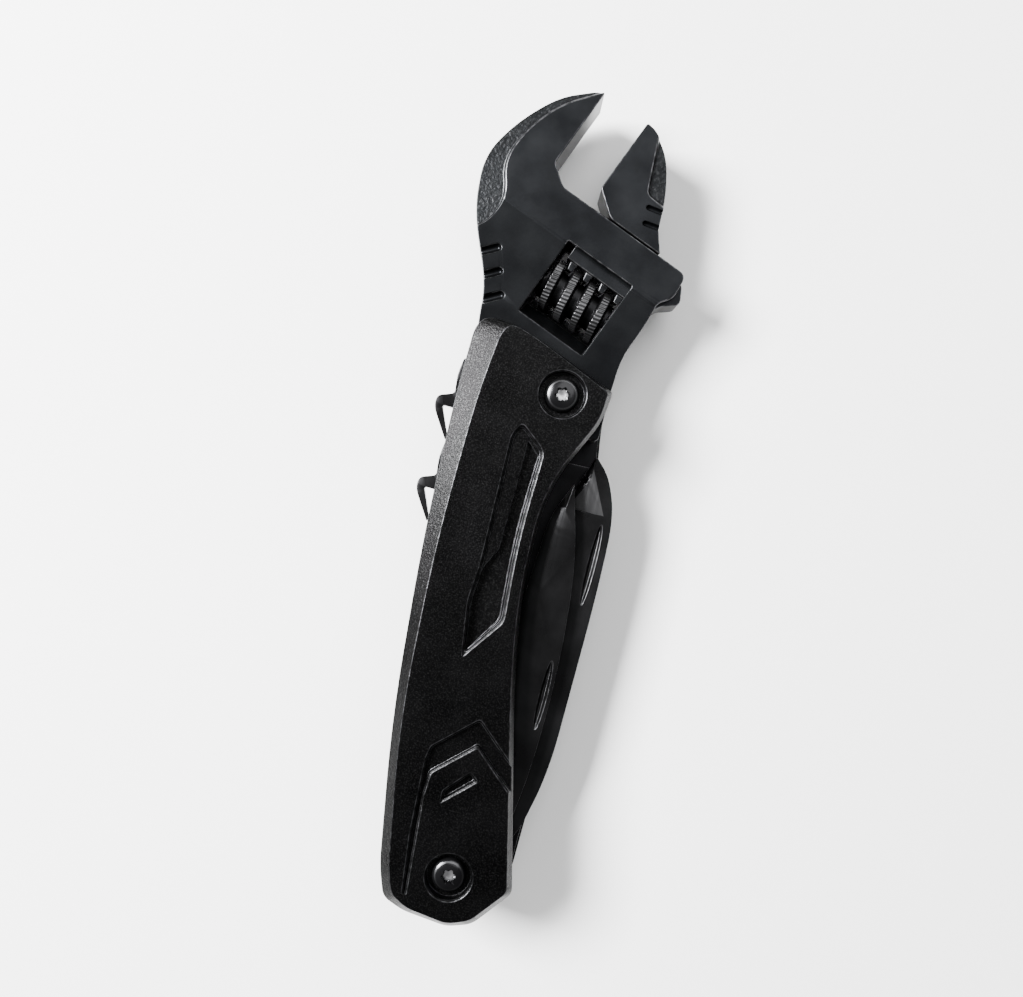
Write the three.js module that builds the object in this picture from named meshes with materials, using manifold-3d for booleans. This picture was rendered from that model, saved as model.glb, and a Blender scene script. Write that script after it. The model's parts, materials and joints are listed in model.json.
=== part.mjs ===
// Folding pocket multi-tool with an adjustable wrench head.
//
// Frame: the tool lies flat with its rear scale down, +Z up through the front scale, and +Y from
// the bottom axle to the wrench head. Millimetres. The origin is at the middle of the bottom of
// the bounding box. The shapes are drawn with the bottom axle at x = 0, y = 0, and the head in a
// frame of its own, with +X along the jaw's slide and +Y towards the jaw tips.

import * as THREE from 'three';
import { mergeVertices } from 'three/addons/utils/BufferGeometryUtils.js';
import Module from 'manifold-3d';

const wasm = await Module();
wasm.setup();

// ---- Handle ----
const axleSpacing = 94.4;            // bottom axle to top axle
const leftWidth = 19.7;              // axle line to the handle's left edge
const rightWidth = 12.6;             // axle line to the handle's right edge
const endRadius = 9.8;               // axle to the rounded bottom end
const shoulderRise = 11.6;           // top axle to the handle's top left corner
const scaleThickness = 3.2;
const scaleBevelDrop = 1.7;
const linerThickness = 1.0;
const centreLinerThickness = 0.5;
const washerThickness = 0.2;
const linerInset = 0.5;              // liners stay inside the scales by this much
const layerGap = 0.1;                // running gap between stacked layers
const cutGap = 0.3;                  // gap round anything cut to clear its neighbour
const pocketDepth = 2.0;
const pocketStripDepth = 0.8;
const grooveDepth = 1.1;

// ---- Axles and screws ----
const axleRadius = 2.6;
const axleBore = 1.65;
const shankRadius = 1.5;
const shankLength = 5.0;
const holeGap = 0.15;                // radial gap of an axle or pin in its hole
const screwHeadRadius = 3.35;
const screwHeadHeight = 1.75;
const counterboreRadius = 4.75;
const counterboreFloor = 1.0;
const starRadius = 1.15;
const starDepth = 1.1;
const washerRadius = 4.8;
const pinRadius = 1.0;

// ---- Folding tools ----
const smallBladeThickness = 1.9;
const largeBladeThickness = 2.4;
const openerThickness = 1.8;
const tangRadius = 5.2;              // round tang of each folding tool
const edgeThickness = 0.3;
const smallBladeLength = 78.5;
const largeBladeLength = 83.9;
const canOpenerLength = 98.2;
const bottleOpenerLength = 81.4;
const clawReach = 4.6;               // claws stand this far out of the handle
const nickDepth = 0.6;
const springWidth = 4.2;

// ---- Wrench head ----
const headTilt = THREE.MathUtils.degToRad(-22.5);
const headRise = 19.2;               // top axle to the window centre, along the handle
const headShift = -1.8;              // and across it
const jawHeight = 19.7;              // jaw flats, from the head's top face to the tips
const jawOpening = 10.1;             // gap between the jaws at rest
const fixedFlat = -18.6;             // the fixed jaw's flat
const deckHeight = 16.3;             // the head's top face, above the window centre
const windowHalfLength = 7.6;
const windowHalfHeight = 8.4;
const padDepth = 0.8;
const cradleGap = 0.5;               // cradle behind the worm to the worm
const cradleLip = 0.4;               // cradle's thinnest wall, at the rear face
const cradleSteps = 6;

// ---- Worm and rack ----
const threadPitch = 3.7;
const threadPhase = 0.9;             // a crest faces the rack this far from the window centre
const wormHalfLength = 7.2;
const wormOuter = 5.2;
const wormRoot = 3.4;
const wormRise = 0.4;                // worm axis above the window centre
const wormBore = 1.5;
const wormPinRadius = 1.2;
const toothTipGap = 0.4;             // rack tooth's tip to the worm's root
const toothTipHalf = 0.5;
const toothHalfLength = 2.8;
const rackHalfThickness = 3.5;
const rackTop = 15.2;
const toothHalf = 0.88;              // half of a rack tooth's root
const firstTooth = -2;
const lastTooth = 2;
const rackLeftLand = 0.47;           // rack's plain ends, beyond its teeth
const rackRightLand = 1.87;
const neckHalfThickness = 1.9;
const springWireRadius = 0.28;
const springCoilRadius = 1.95;
const springPocketRadius = 2.55;
const springPocketDepth = 3.9;
const springTurns = 5;

// ---- Solids ----
const curveSteps = 3;                // straight pieces in each rounded corner

// A closed, indexed mesh with its faces pointing out.
function closed(geometry) {
  const bare = geometry.clone();
  for (const name of Object.keys(bare.attributes)) {
    if (name !== 'position') bare.deleteAttribute(name);
  }
  const merged = mergeVertices(bare, 1e-5);
  const position = merged.attributes.position;
  const corners = merged.index.array;
  const faces = [];
  const a = new THREE.Vector3();
  const b = new THREE.Vector3();
  const c = new THREE.Vector3();
  let volume = 0;
  for (let i = 0; i < corners.length; i += 3) {
    const [p, q, r] = corners.slice(i, i + 3);
    if (p === q || q === r || r === p) continue;
    faces.push([p, q, r]);
    a.fromBufferAttribute(position, p);
    b.fromBufferAttribute(position, q);
    c.fromBufferAttribute(position, r);
    volume += a.dot(b.cross(c));
  }
  merged.setIndex(faces.flatMap(([p, q, r]) => (volume > 0 ? [p, q, r] : [p, r, q])));
  return merged;
}

function solid(geometry) {
  const mesh = closed(geometry);
  return new wasm.Manifold(new wasm.Mesh({
    numProp: 3,
    vertProperties: Float32Array.from(mesh.attributes.position.array),
    triVerts: Uint32Array.from(mesh.index.array),
  }));
}

function joined(geometry, others) {
  return others.reduce((whole, other) => whole.add(solid(other)), solid(geometry));
}

function cut(body, cutters) {
  return cutters.reduce((whole, cutter) => whole.subtract(solid(cutter)), body);
}

function geometryOf(body) {
  const mesh = body.getMesh();
  const geometry = new THREE.BufferGeometry();
  geometry.setAttribute('position', new THREE.BufferAttribute(mesh.vertProperties, 3));
  geometry.setIndex(new THREE.BufferAttribute(mesh.triVerts, 1));
  return geometry;
}

// Points of a closed outline. A corner is [x, y, round, dx, dy]: its rounding starts at the
// distance round from the corner, and the outline's bevelled copy is moved there by dx, dy.
function rounded(corners, share = 0, steps = curveSteps) {
  const moved = corners.map(([x, y, , dx = 0, dy = 0]) => new THREE.Vector2(x + share * dx, y + share * dy));
  const points = [];
  moved.forEach((corner, i) => {
    const round = corners[i][2] ?? 0;
    if (round === 0) {
      points.push(corner);
      return;
    }
    const ends = [moved.at(i - 1), moved[(i + 1) % moved.length]].map((other) => {
      const side = other.clone().sub(corner);
      return corner.clone().addScaledVector(side, Math.min(round / side.length(), 0.46));
    });
    points.push(...new THREE.QuadraticBezierCurve(ends[0], corner, ends[1]).getPoints(steps));
  });
  return points;
}

// A solid through copies of one outline: levels are [z, share of the bevel].
function bevelled(corners, levels) {
  const rings = levels.map(([, share]) => rounded(corners, share));
  const count = rings[0].length;
  const points = rings.flatMap((ring, k) => ring.map((p) => new THREE.Vector3(p.x, p.y, levels[k][0])));
  const index = [];
  for (let k = 0; k + 1 < rings.length; k += 1) {
    for (let i = 0; i < count; i += 1) {
      const j = (i + 1) % count;
      const [low, high] = [k * count, (k + 1) * count];
      index.push(low + i, low + j, high + j, low + i, high + j, high + i);
    }
  }
  const top = (rings.length - 1) * count;
  const clockwise = THREE.ShapeUtils.isClockWise(rings[0]);
  for (const [start, ring, flip] of [[0, rings[0], true], [top, rings.at(-1), false]]) {
    for (const [a, b, c] of THREE.ShapeUtils.triangulateShape(ring, [])) {
      const area = THREE.ShapeUtils.area([ring[a], ring[b], ring[c]]);
      const turn = (area < 0) !== clockwise;
      const keep = flip === turn;
      index.push(start + a, start + (keep ? b : c), start + (keep ? c : b));
    }
  }
  const geometry = new THREE.BufferGeometry().setFromPoints(points);
  geometry.setIndex(index);
  return geometry;
}

function prism(corners, low, high) {
  return bevelled(corners, [[low, 0], [high, 0]]);
}

function box(x0, x1, y0, y1, z0, z1) {
  const geometry = new THREE.BoxGeometry(x1 - x0, y1 - y0, z1 - z0);
  return geometry.translate((x0 + x1) / 2, (y0 + y1) / 2, (z0 + z1) / 2);
}

// A round bar along Z.
function bar(radius, low, high, x = 0, y = 0, sides = 20) {
  const geometry = new THREE.CylinderGeometry(radius, radius, high - low, sides);
  return geometry.rotateX(Math.PI / 2).translate(x, y, (low + high) / 2);
}

// A round bar along X.
function crossBar(radius, from, to, y, sides = 20) {
  const geometry = new THREE.CylinderGeometry(radius, radius, to - from, sides);
  return geometry.rotateZ(Math.PI / 2).translate((from + to) / 2, y, 0);
}

// A turned piece about Z, from [radius, z] pairs.
function turned(profile, sides = 20) {
  const points = profile.map(([radius, z]) => new THREE.Vector2(radius, z));
  return new THREE.LatheGeometry(points, sides).rotateX(Math.PI / 2);
}

// A slot with round ends, from one point to the other.
function slot(x0, y0, x1, y1, width, low, high) {
  const length = Math.hypot(x1 - x0, y1 - y0);
  const shape = new THREE.Shape();
  shape.absarc(length, 0, width / 2, -Math.PI / 2, Math.PI / 2);
  shape.absarc(0, 0, width / 2, Math.PI / 2, 1.5 * Math.PI);
  const geometry = new THREE.ExtrudeGeometry(shape, {
    depth: high - low,
    bevelEnabled: false,
    curveSegments: 5,
  });
  return geometry.rotateZ(Math.atan2(y1 - y0, x1 - x0)).translate(x0, y0, low);
}

// ---- Stack of layers, from the rear scale up ----
const stack = [
  ['rearLiner', linerThickness],
  ['rearWasher', washerThickness],
  ['bottleOpener', openerThickness],
  ['openerWasher', washerThickness],
  ['canOpener', openerThickness],
  ['centreLiner', centreLinerThickness],
  ['largeBlade', largeBladeThickness],
  ['bladeWasher', washerThickness],
  ['smallBlade', smallBladeThickness],
  ['frontWasher', washerThickness],
  ['frontLiner', linerThickness],
];
const layers = {};
let level = scaleThickness + layerGap;
for (const [name, thickness] of stack) {
  layers[name] = [level, level + thickness];
  level += thickness + layerGap;
}
const frontScaleBase = level;
const headLow = layers.rearLiner[1] + layerGap;
const headHigh = layers.frontLiner[0] - layerGap;
const headHalf = (headHigh - headLow) / 2;
const headMiddle = (headHigh + headLow) / 2;

// ---- Materials ----
function material(color, roughness, metalness) {
  return new THREE.MeshStandardMaterial({ color, roughness, metalness });
}
const anodised = () => material(0x1b1b1d, 0.55, 0.7);
const forgedSteel = () => material(0x3a3c3f, 0.38, 0.9);
const blackSteel = () => material(0x232325, 0.35, 0.9);
const springSteel = () => material(0x55575a, 0.35, 0.95);
const screwBlack = () => material(0x0f0f10, 0.2, 0.8);
const bronze = () => material(0x8a6a3a, 0.4, 0.9);

function piece(name, geometry, look, z = 0) {
  const mesh = new THREE.Mesh(geometry, look);
  mesh.name = name;
  mesh.position.z = z;
  return mesh;
}

// ---- Handle outline ----
const top = axleSpacing;
const spring = leftWidth - 3.3;      // left spring pins lie on this line

// The cut-out on the right that bares the blades, and the plain right side of the rear.
const openSide = [
  [9.4, top + 2.7, 0.8, -1.0, -0.4],
  [8.6, top - 3.4, 3, -0.6, 0.3],
  [1.2, top - 18.4, 9, -0.6, 0.2],
  [1.2, 50, 22, -0.6, -0.2],
];
const plainSide = [
  [9.4, top + 2.7, 0.8, -1.0, -0.4],
  [rightWidth - 2.4, top - 8, 6, -0.6, 0.3],
  [rightWidth + 1.2, top - 24, 8, -0.6, 0.2],
  [rightWidth + 1.4, 40, 12, -0.6, 0],
];

function handleCorners(rightSide) {
  return [
    [-leftWidth + 0.5, top + shoulderRise, 4.6, 5.4, -0.8],
    [-11, top + 11.2, 9, 1.6, -0.9],
    ...rightSide,
    [rightWidth, -0.8, 1.2, -1.2, 0.5],
    [6.4, -endRadius + 1.5, 1.5, -0.7, 1.2],
    [1.7, -endRadius, 1.5, -0.2, 1.2],
    [-7.2, -endRadius + 1.1, 1.5, 0.6, 1.3],
    [-leftWidth + 8.3, -endRadius + 2.8, 1.5, 1.4, 1.6],
    [-leftWidth + 6.3, -1.2, 3, 1.8, 0.8],
    [-leftWidth + 2.1, 27, 14, 1.7, 0],
    [-leftWidth, 62, 14, 2.8, 0],
    [-leftWidth - 0.2, top - 4, 8, 4.2, 0],
  ];
}

// The outline moved inwards all round, for the liners.
function shrunk(corners, distance) {
  const points = corners.map(([x, y]) => new THREE.Vector2(x, y));
  const inward = THREE.ShapeUtils.isClockWise(points) ? -1 : 1;
  const normals = points.map((point, i) => {
    const edge = points[(i + 1) % points.length].clone().sub(point).normalize();
    return new THREE.Vector2(-edge.y * inward, edge.x * inward);
  });
  return corners.map(([x, y, round], i) => {
    const [before, after] = [normals.at(i - 1), normals[i]];
    const share = distance / (1 + before.dot(after));
    return [x + share * (before.x + after.x), y + share * (before.y + after.y), round];
  });
}

const leftPins = [34, 70].map((y) => [-spring + (y < 50 ? 1.2 : 0), y]);
const rightPins = [34, 70].map((y) => [rightWidth - 2.2, y]);
const tangPin = [-5.5, top - 1.5];

function holes(places, radius, low, high) {
  return places.map(([x, y]) => bar(radius + holeGap, low, high, x, y, 12));
}

// ---- Scales ----
const pocket = [
  [-6.2, top - 6.9, 1.2],
  [-7.7, top - 9.6, 1.2],
  [-7.9, 59],
  [-8.6, 52, 1.5],
  [-7.2, 41.2, 1],
  [-0.9, 49.6, 1.2],
  [-1.7, 66, 8],
  [-0.8, top - 11.4, 1.5],
];
const pocketFloor = [
  [-4.3, top - 10.1],
  [-5.0, 63],
  [-7.3, 58.6, 1],
  [-7.9, 52, 1],
  [-6.9, 42.4],
  [-1.9, 49.8, 1],
  [-2.7, 66, 8],
  [-1.8, top - 12.4],
];
const groove = [
  [-7.9, -5.9],
  [-9.1, 6.4],
  [-9.5, 21],
  [-9.0, 23.6, 0.6],
  [-1.0, 30.7, 0.8],
  [6.3, 24],
  [rightWidth + 4, 15.5],
  [rightWidth + 4, 9.8],
  [-0.3, 25.3, 0.5],
  [-7.8, 18.6, 0.6],
  [-8.2, 14],
  [-7.1, -5.7],
];
const panelSlot = [
  [-4.9, 13.2, 0.4],
  [-5.0, 15.9, 0.6],
  [-0.5, 20.6, 0.6],
  [1.4, 19.0, 0.6],
];

// A scale with its outer face up. Each screw head sits in a counterbore.
function scale(rightSide) {
  const height = scaleThickness;
  const levels = [[0, 0], [height - scaleBevelDrop, 0], [height, 1]];
  const through = [-1, height + 1];
  const cutters = [
    prism(pocket, height - pocketStripDepth, height + 1),
    prism(pocketFloor, height - pocketDepth, height + 1),
    prism(groove, height - grooveDepth, height + 1),
    prism(panelSlot, height - grooveDepth - 0.3, height + 1),
  ];
  for (const y of [0, top]) {
    cutters.push(bar(counterboreRadius, counterboreFloor, height + 1, 0, y, 28));
    cutters.push(bar(shankRadius + holeGap, ...through, 0, y, 12));
  }
  return geometryOf(cut(solid(bevelled(handleCorners(rightSide), levels)), cutters));
}

function frontScale() {
  return piece('front_scale', scale(openSide), anodised(), frontScaleBase);
}

function rearScale() {
  return piece('rear_scale', closed(scale(plainSide).scale(1, 1, -1)), anodised(), scaleThickness);
}

// ---- Liners ----
function liner(name, rightSide, [low, high], pins) {
  const plate = solid(prism(shrunk(handleCorners(rightSide), linerInset), low, high));
  const cutters = [
    ...holes([[0, 0], [0, top]], axleRadius, low - 1, high + 1),
    ...holes([...pins, tangPin], pinRadius, low - 1, high + 1),
  ];
  return piece(name, geometryOf(cut(plate, cutters)), blackSteel());
}

// The centre liner stops below the tang of the wrench head.
function centreLiner() {
  const [low, high] = layers.centreLiner;
  const plate = solid(prism(shrunk(handleCorners(plainSide), 2 * linerInset), low, high));
  const cutters = [
    box(-leftWidth - 5, rightWidth + 5, top - 12, top + 30, low - 1, high + 1),
    ...holes([[0, 0]], axleRadius, low - 1, high + 1),
    ...holes([...leftPins, ...rightPins], pinRadius, low - 1, high + 1),
  ];
  return piece('centre_liner', geometryOf(cut(plate, cutters)), springSteel());
}

// ---- Axles, screws, washers and pins ----
const barrelLow = layers.rearLiner[0] + 0.05;
const barrelHigh = layers.frontLiner[1] - 0.05;

function barrel(name, y) {
  const profile = [
    [axleBore, barrelLow],
    [axleRadius, barrelLow],
    [axleRadius, barrelHigh],
    [axleBore, barrelHigh],
    [axleBore, barrelLow],
  ];
  return piece(name, closed(turned(profile).translate(0, y, 0)), springSteel());
}

// A six-lobed star, for the driver.
function star() {
  const count = 24;
  const corners = [];
  for (let i = 0; i < count; i += 1) {
    const angle = (2 * Math.PI * i) / count;
    const radius = starRadius * (1 + 0.16 * Math.cos(6 * angle));
    corners.push([radius * Math.cos(angle), radius * Math.sin(angle)]);
  }
  return corners;
}

function screw(name, y, front) {
  const profile = [
    [0, -shankLength],
    [shankRadius - 0.3, -shankLength],
    [shankRadius, -shankLength + 0.3],
    [shankRadius, 0],
    [screwHeadRadius - 0.1, 0],
    [screwHeadRadius, 0.5],
    [screwHeadRadius - 0.35, 1.05],
    [screwHeadRadius - 1.2, 1.55],
    [screwHeadRadius - 1.9, screwHeadHeight],
    [0, screwHeadHeight],
  ];
  const recess = prism(star(), screwHeadHeight - starDepth, screwHeadHeight + 1);
  const geometry = geometryOf(cut(solid(turned(profile)), [recess]));
  const seat = counterboreFloor + layerGap;
  if (front) return piece(name, geometry.translate(0, y, frontScaleBase + seat), screwBlack());
  return piece(name, geometry.rotateX(Math.PI).translate(0, y, scaleThickness - seat), screwBlack());
}

function washer(name, [low, high]) {
  const inner = axleRadius + holeGap;
  const profile = [[inner, low], [washerRadius, low], [washerRadius, high], [inner, high], [inner, low]];
  return piece(name, closed(turned(profile)), bronze());
}

function pin(name, [x, y], low, high) {
  return piece(name, closed(bar(pinRadius, low, high, x, y, 12)), springSteel());
}

// ---- Folding tools, closed, on the bottom axle ----
const spine = rightWidth + 3.2;      // the large blade's back
const shank = -leftWidth + 1.3;      // the openers' backs
const claw = -leftWidth - clawReach;

function largeBladeCorners() {
  const length = largeBladeLength;
  return [
    [tangRadius - 0.3, 0.4],
    [11.2, 8, 5],
    [spine - 1.2, 22, 8],
    [spine, 58, 12],
    [spine - 0.2, length - 10, 6],
    [spine - 2.9, length - 2.6, 3],
    [spine - 6.2, length + 0.9, 0.6],
    [7.0, length - 6, 3, 2.4, -1.4],
    [5.7, length - 22, 8, 3.4, 0],
    [5.4, 25, 2, 3.4, 0],
    [4.6, 18, 2],
    [4.2 - tangRadius, 9, 3],
    [0.6 - tangRadius, 2.2],
  ];
}

function smallBladeCorners() {
  const length = smallBladeLength;
  return [
    [tangRadius - 0.3, 0.4],
    [8.6, 7, 4],
    [spine - 4.9, 22, 8],
    [spine - 4.1, 42, 10],
    [spine - 5.4, length - 16, 8],
    [6.4, length, 0.4],
    [3.3, length - 7, 3, 2.3, -1],
    [1.8, length - 24, 6, 2.8, 0],
    [1.8, 24, 2, 2.8, 0],
    [2.2, 17, 2],
    [4.0 - tangRadius, 9, 3],
    [0.6 - tangRadius, 2.2],
  ];
}

// An opener: a claw with its beak towards the axle, and a flat driver at the tip.
function openerCorners(length) {
  return [
    [0.3 - tangRadius, 0.4],
    [shank + 5.8, 10, 5],
    [shank + 1.8, 28, 10],
    [shank, 55, 10],
    [shank, length - 10.4, 0.6],
    [claw + 1.6, length - 10.2, 0.6],
    [claw + 4.1, length - 16.4],
    [claw + 3.6, length - 16.8],
    [claw, length - 10.9, 1.6],
    [claw + 0.1, length - 8.5, 1.1],
    [shank - 2.4, length - 7.4, 0.8],
    [shank - 2.8, length - 3.6, 2],
    [shank - 2.2, length, 0.6, 0, -2.4],
    [shank + 4.2, length, 0.6, 0, -2.4],
    [shank + 5.2, length - 8, 4],
    [shank + 5.1, 42, 8],
    [shank + 6.0, 25, 7],
    [tangRadius - 4.2, 9, 3],
    [tangRadius - 0.6, 2.2],
  ];
}

// A tool is its bevelled outline joined to a round tang, with a bore for the axle.
function foldingTool(name, corners, [low, high], edge, cutters = []) {
  const middle = (low + high) / 2;
  const levels = [[low, 1], [middle - edge / 2, 0], [middle + edge / 2, 0], [high, 1]];
  const body = joined(bevelled(corners, levels), [bar(tangRadius, low, high, 0, 0, 28)]);
  const bore = bar(axleRadius + holeGap, low - 1, high + 1);
  return piece(name, geometryOf(cut(body, [bore, ...cutters])), blackSteel());
}

// A nail nick, sunk into the front face beside the tool's back.
function nick(x, y0, y1, [, high]) {
  return slot(x, y0, x + 0.5, y1, 1.5, high - nickDepth, high + 1);
}

// ---- Leaf springs: pinned above, with a foot beside the round tangs ----
const leftSpring = [
  [-leftWidth + 1.0, 82, 1],
  [-leftWidth + 1.0, 62, 8],
  [-leftWidth + 3.1, 27, 8],
  [-leftWidth + 7.2, 5.5, 3],
  [-11.2, 0.6, 0.8],
  [1.2 - tangRadius, 0.6],
  [1.3 - tangRadius, 4.3],
  [-9.6, 7.6, 3],
  [-leftWidth + 3.1 + springWidth - 0.3, 27, 8],
  [-leftWidth + 1.0 + springWidth, 62, 8],
  [-leftWidth + 1.0 + springWidth, 82, 1],
];
const rightSpring = [
  [rightWidth - 0.2, 76, 1],
  [rightWidth - 0.1, 40, 8],
  [rightWidth - 0.4, 10, 3],
  [10, 0.6, 0.8],
  [tangRadius - 1.2, 0.6],
  [tangRadius - 1.3, 4.3],
  [8.0, 7.6, 2],
  [rightWidth - springWidth, 27, 8],
  [rightWidth - 0.2 - springWidth, 76, 1],
];

function leafSpring(name, corners, [low, high], pins) {
  const cutters = [
    bar(tangRadius + cutGap, low - 1, high + 1, 0, 0, 40),
    ...holes(pins, pinRadius, low - 1, high + 1),
  ];
  return piece(name, geometryOf(cut(solid(prism(corners, low, high)), cutters)), springSteel());
}

// ---- Wrench head, in its own frame ----
const headOrigin = new THREE.Vector2(headShift, top + headRise);

function toHead(x, y, round = 0) {
  const point = new THREE.Vector2(x, y).sub(headOrigin).rotateAround(new THREE.Vector2(), -headTilt);
  return [point.x, point.y, round];
}

const tipHeight = deckHeight + jawHeight;
const fixedJaw = [
  [fixedFlat, tipHeight, 0.6],
  [fixedFlat - 1.7, tipHeight - 0.7, 1.2],
  [-25.6, 30.2, 4],
  [-29.4, 21.5, 5],
  [-30.9, 12.6, 4.5],
  [-26.2, 2.6, 6],
  [-16.2, -7.4, 6],
  [-12.8, -14.4, 1],
];
const tang = [
  toHead(-18.8, top + 8.6, 0.5),
  toHead(-12.2, top + 6.3, 1),
  toHead(-11.8, top - 6.9, 1),
  toHead(8.9, top - 6.9, 1),
  toHead(9.2, top + 3.8, 1),
];
const nose = [
  [14.1, -4, 4],
  [14.1, 3, 2],
  [13.6, 8.6, 0.8],
  [15.5, 11.2, 1.2],
  [14.9, deckHeight, 1.6],
  [fixedFlat + 4.0, deckHeight, 0.8],
  [fixedFlat, deckHeight + 2.9, 0.8],
];
const toothPlace = (k) => threadPhase + (k + 0.5) * threadPitch;
const rackLeft = toothPlace(firstTooth) - toothHalf - rackLeftLand;
const rackToothEnd = toothPlace(lastTooth) + toothHalf + rackRightLand;
const jawTravel = jawOpening - 0.2;
const rackFoot = wormRise + wormOuter + cutGap;
const toothTip = wormRise + wormRoot + toothTipGap;
const toothHeight = rackFoot - toothTip;
const channelLeft = rackLeft - jawTravel - cutGap;
const farSide = 40;

// The same cut in both faces of the head or the jaw, made by make(low, high).
function bothFaces(depth, make) {
  return [make(headHalf - depth, headHalf + 1), make(-headHalf - 1, -headHalf + depth)];
}

// The window is open at the front, and a cradle closes it in behind the worm's lower side.
function windowCutter() {
  const through = headHalf + 1;
  const cradle = wormOuter + cradleGap;
  const lastAngle = Math.asin(Math.min(1, (headHalf - cradleLip) / cradle));
  const profile = [
    [windowHalfHeight, through],
    [-windowHalfHeight, through],
    [-windowHalfHeight, headHalf],
  ];
  for (let i = 0; i <= cradleSteps; i += 1) {
    const angle = (lastAngle * i) / cradleSteps;
    profile.push([wormRise - cradle * Math.cos(angle), -cradle * Math.sin(angle)]);
  }
  profile.push([profile.at(-1)[0], -through], [windowHalfHeight, -through]);
  const turn = new THREE.Matrix4().makeBasis(
    new THREE.Vector3(0, 1, 0),
    new THREE.Vector3(0, 0, 1),
    new THREE.Vector3(1, 0, 0),
  );
  return prism(profile, -windowHalfLength, windowHalfLength).applyMatrix4(turn);
}

function wrenchHead() {
  const body = solid(prism([...fixedJaw, ...tang, ...nose], -headHalf, headHalf));
  const pad = [
    [-18.9, tipHeight + 0.2],
    [-24.2, 29.8, 4],
    [-27.0, 22.5, 4],
    [-27.4, 14, 4],
    [-22.6, 8, 4],
    [-22.8, 2.6, 2],
    [-25, -1.2],
    [-farSide, -1.2],
    [-farSide, tipHeight + 4],
    [-18.9, tipHeight + 4],
  ];
  const channel = rackHalfThickness + cutGap;
  const neck = neckHalfThickness + cutGap;
  const cutters = [
    windowCutter(),
    box(channelLeft, farSide, toothTip - cutGap, rackTop + cutGap, -channel, channel),
    box(channelLeft, farSide, rackTop, deckHeight + 1, -neck, neck),
    crossBar(wormPinRadius + holeGap, -12.5, farSide, wormRise),
    ...bothFaces(padDepth, (low, high) => prism(pad, low, high)),
  ];
  for (let i = 0; i < 3; i += 1) {
    const [x, y] = [-18.1 + 2.95 * i, -0.7 - 3.6 * i];
    cutters.push(...bothFaces(1.2, (low, high) => slot(x - 5, y - 6, x, y, 1.6, low, high)));
  }
  const [axleX, axleY] = toHead(0, top);
  const [pinX, pinY] = toHead(...tangPin);
  cutters.push(bar(axleRadius + holeGap, -farSide, farSide, axleX, axleY));
  cutters.push(bar(pinRadius + holeGap, -farSide, farSide, pinX, pinY, 16));
  return piece('wrench_head', geometryOf(cut(body, cutters)), forgedSteel());
}

// The jaw, its neck and its toothed rack are one forging.
function movableJaw() {
  const flat = fixedFlat + jawOpening;
  const foot = deckHeight + cutGap;
  const jaw = [
    [flat, tipHeight, 0.6],
    [flat, foot + 3.8, 0.6],
    [flat + 5.0, foot, 1],
    [flat + 16.9, foot, 0.5],
    [5.3, 20.3, 1.5],
    [3.0, 26.2, 4],
    [-1.4, 32.8, 4],
    [-6.1, tipHeight - 0.3, 1.5],
  ];
  const rack = [
    [rackLeft, rackFoot],
    [rackToothEnd, rackFoot, 0.6],
    [14.4, 8.8, 0.6],
    [17.4, 11.2, 1.2],
    [15.2, rackTop - 0.2, 1.4],
    [rackLeft, rackTop],
  ];
  const pad = [
    [-5.2, tipHeight],
    [-1.6, 28, 4],
    [-0.2, 25, 1],
    [5, 24.6],
    [9, 24.6],
    [9, tipHeight],
  ];
  const parts = [
    prism(rack, -rackHalfThickness, rackHalfThickness),
    box(-1.6, 7.6, rackTop - 0.5, foot + 0.5, -neckHalfThickness, neckHalfThickness),
  ];
  const slant = threadPitch / (2 * Math.PI * (wormOuter - toothHeight / 2));
  for (let k = firstTooth; k <= lastTooth; k += 1) {
    parts.push(rackTooth(toothPlace(k), toothHalfLength * slant));
  }
  const cutters = [
    ...bothFaces(padDepth, (low, high) => prism(pad, low, high)),
    ...bothFaces(0.9, (low, high) => slot(1.3, 22.7, 8, 24.3, 1.1, low, high)),
    ...bothFaces(0.9, (low, high) => slot(2.5, 19.8, 9, 21.6, 1.1, low, high)),
  ];
  const body = joined(prism(jaw, -headHalf, headHalf), parts);
  return piece('movable_jaw', geometryOf(cut(body, cutters)), forgedSteel());
}

// A rack tooth, slanted like the thread that it meets.
function rackTooth(middle, lean) {
  const corners = [
    [middle - toothHalf, rackFoot + 0.4, 0, lean, 0],
    [middle - toothTipHalf, toothTip, 0, lean, 0],
    [middle + toothTipHalf, toothTip, 0, lean, 0],
    [middle + toothHalf, rackFoot + 0.4, 0, lean, 0],
  ];
  return bevelled(corners, [[-toothHalfLength, -1], [toothHalfLength, 1]]);
}

// The worm's thread: crest, flanks and root, as a radius that depends on the place.
function threadRadius(x, angle) {
  const turnsFromCrest = (x - threadPhase) / threadPitch - angle / (2 * Math.PI);
  const offset = Math.abs(turnsFromCrest - Math.round(turnsFromCrest)) * threadPitch;
  const flank = THREE.MathUtils.clamp((offset - 0.4) / 0.6, 0, 1);
  return THREE.MathUtils.lerp(wormOuter, wormRoot, flank);
}

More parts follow.
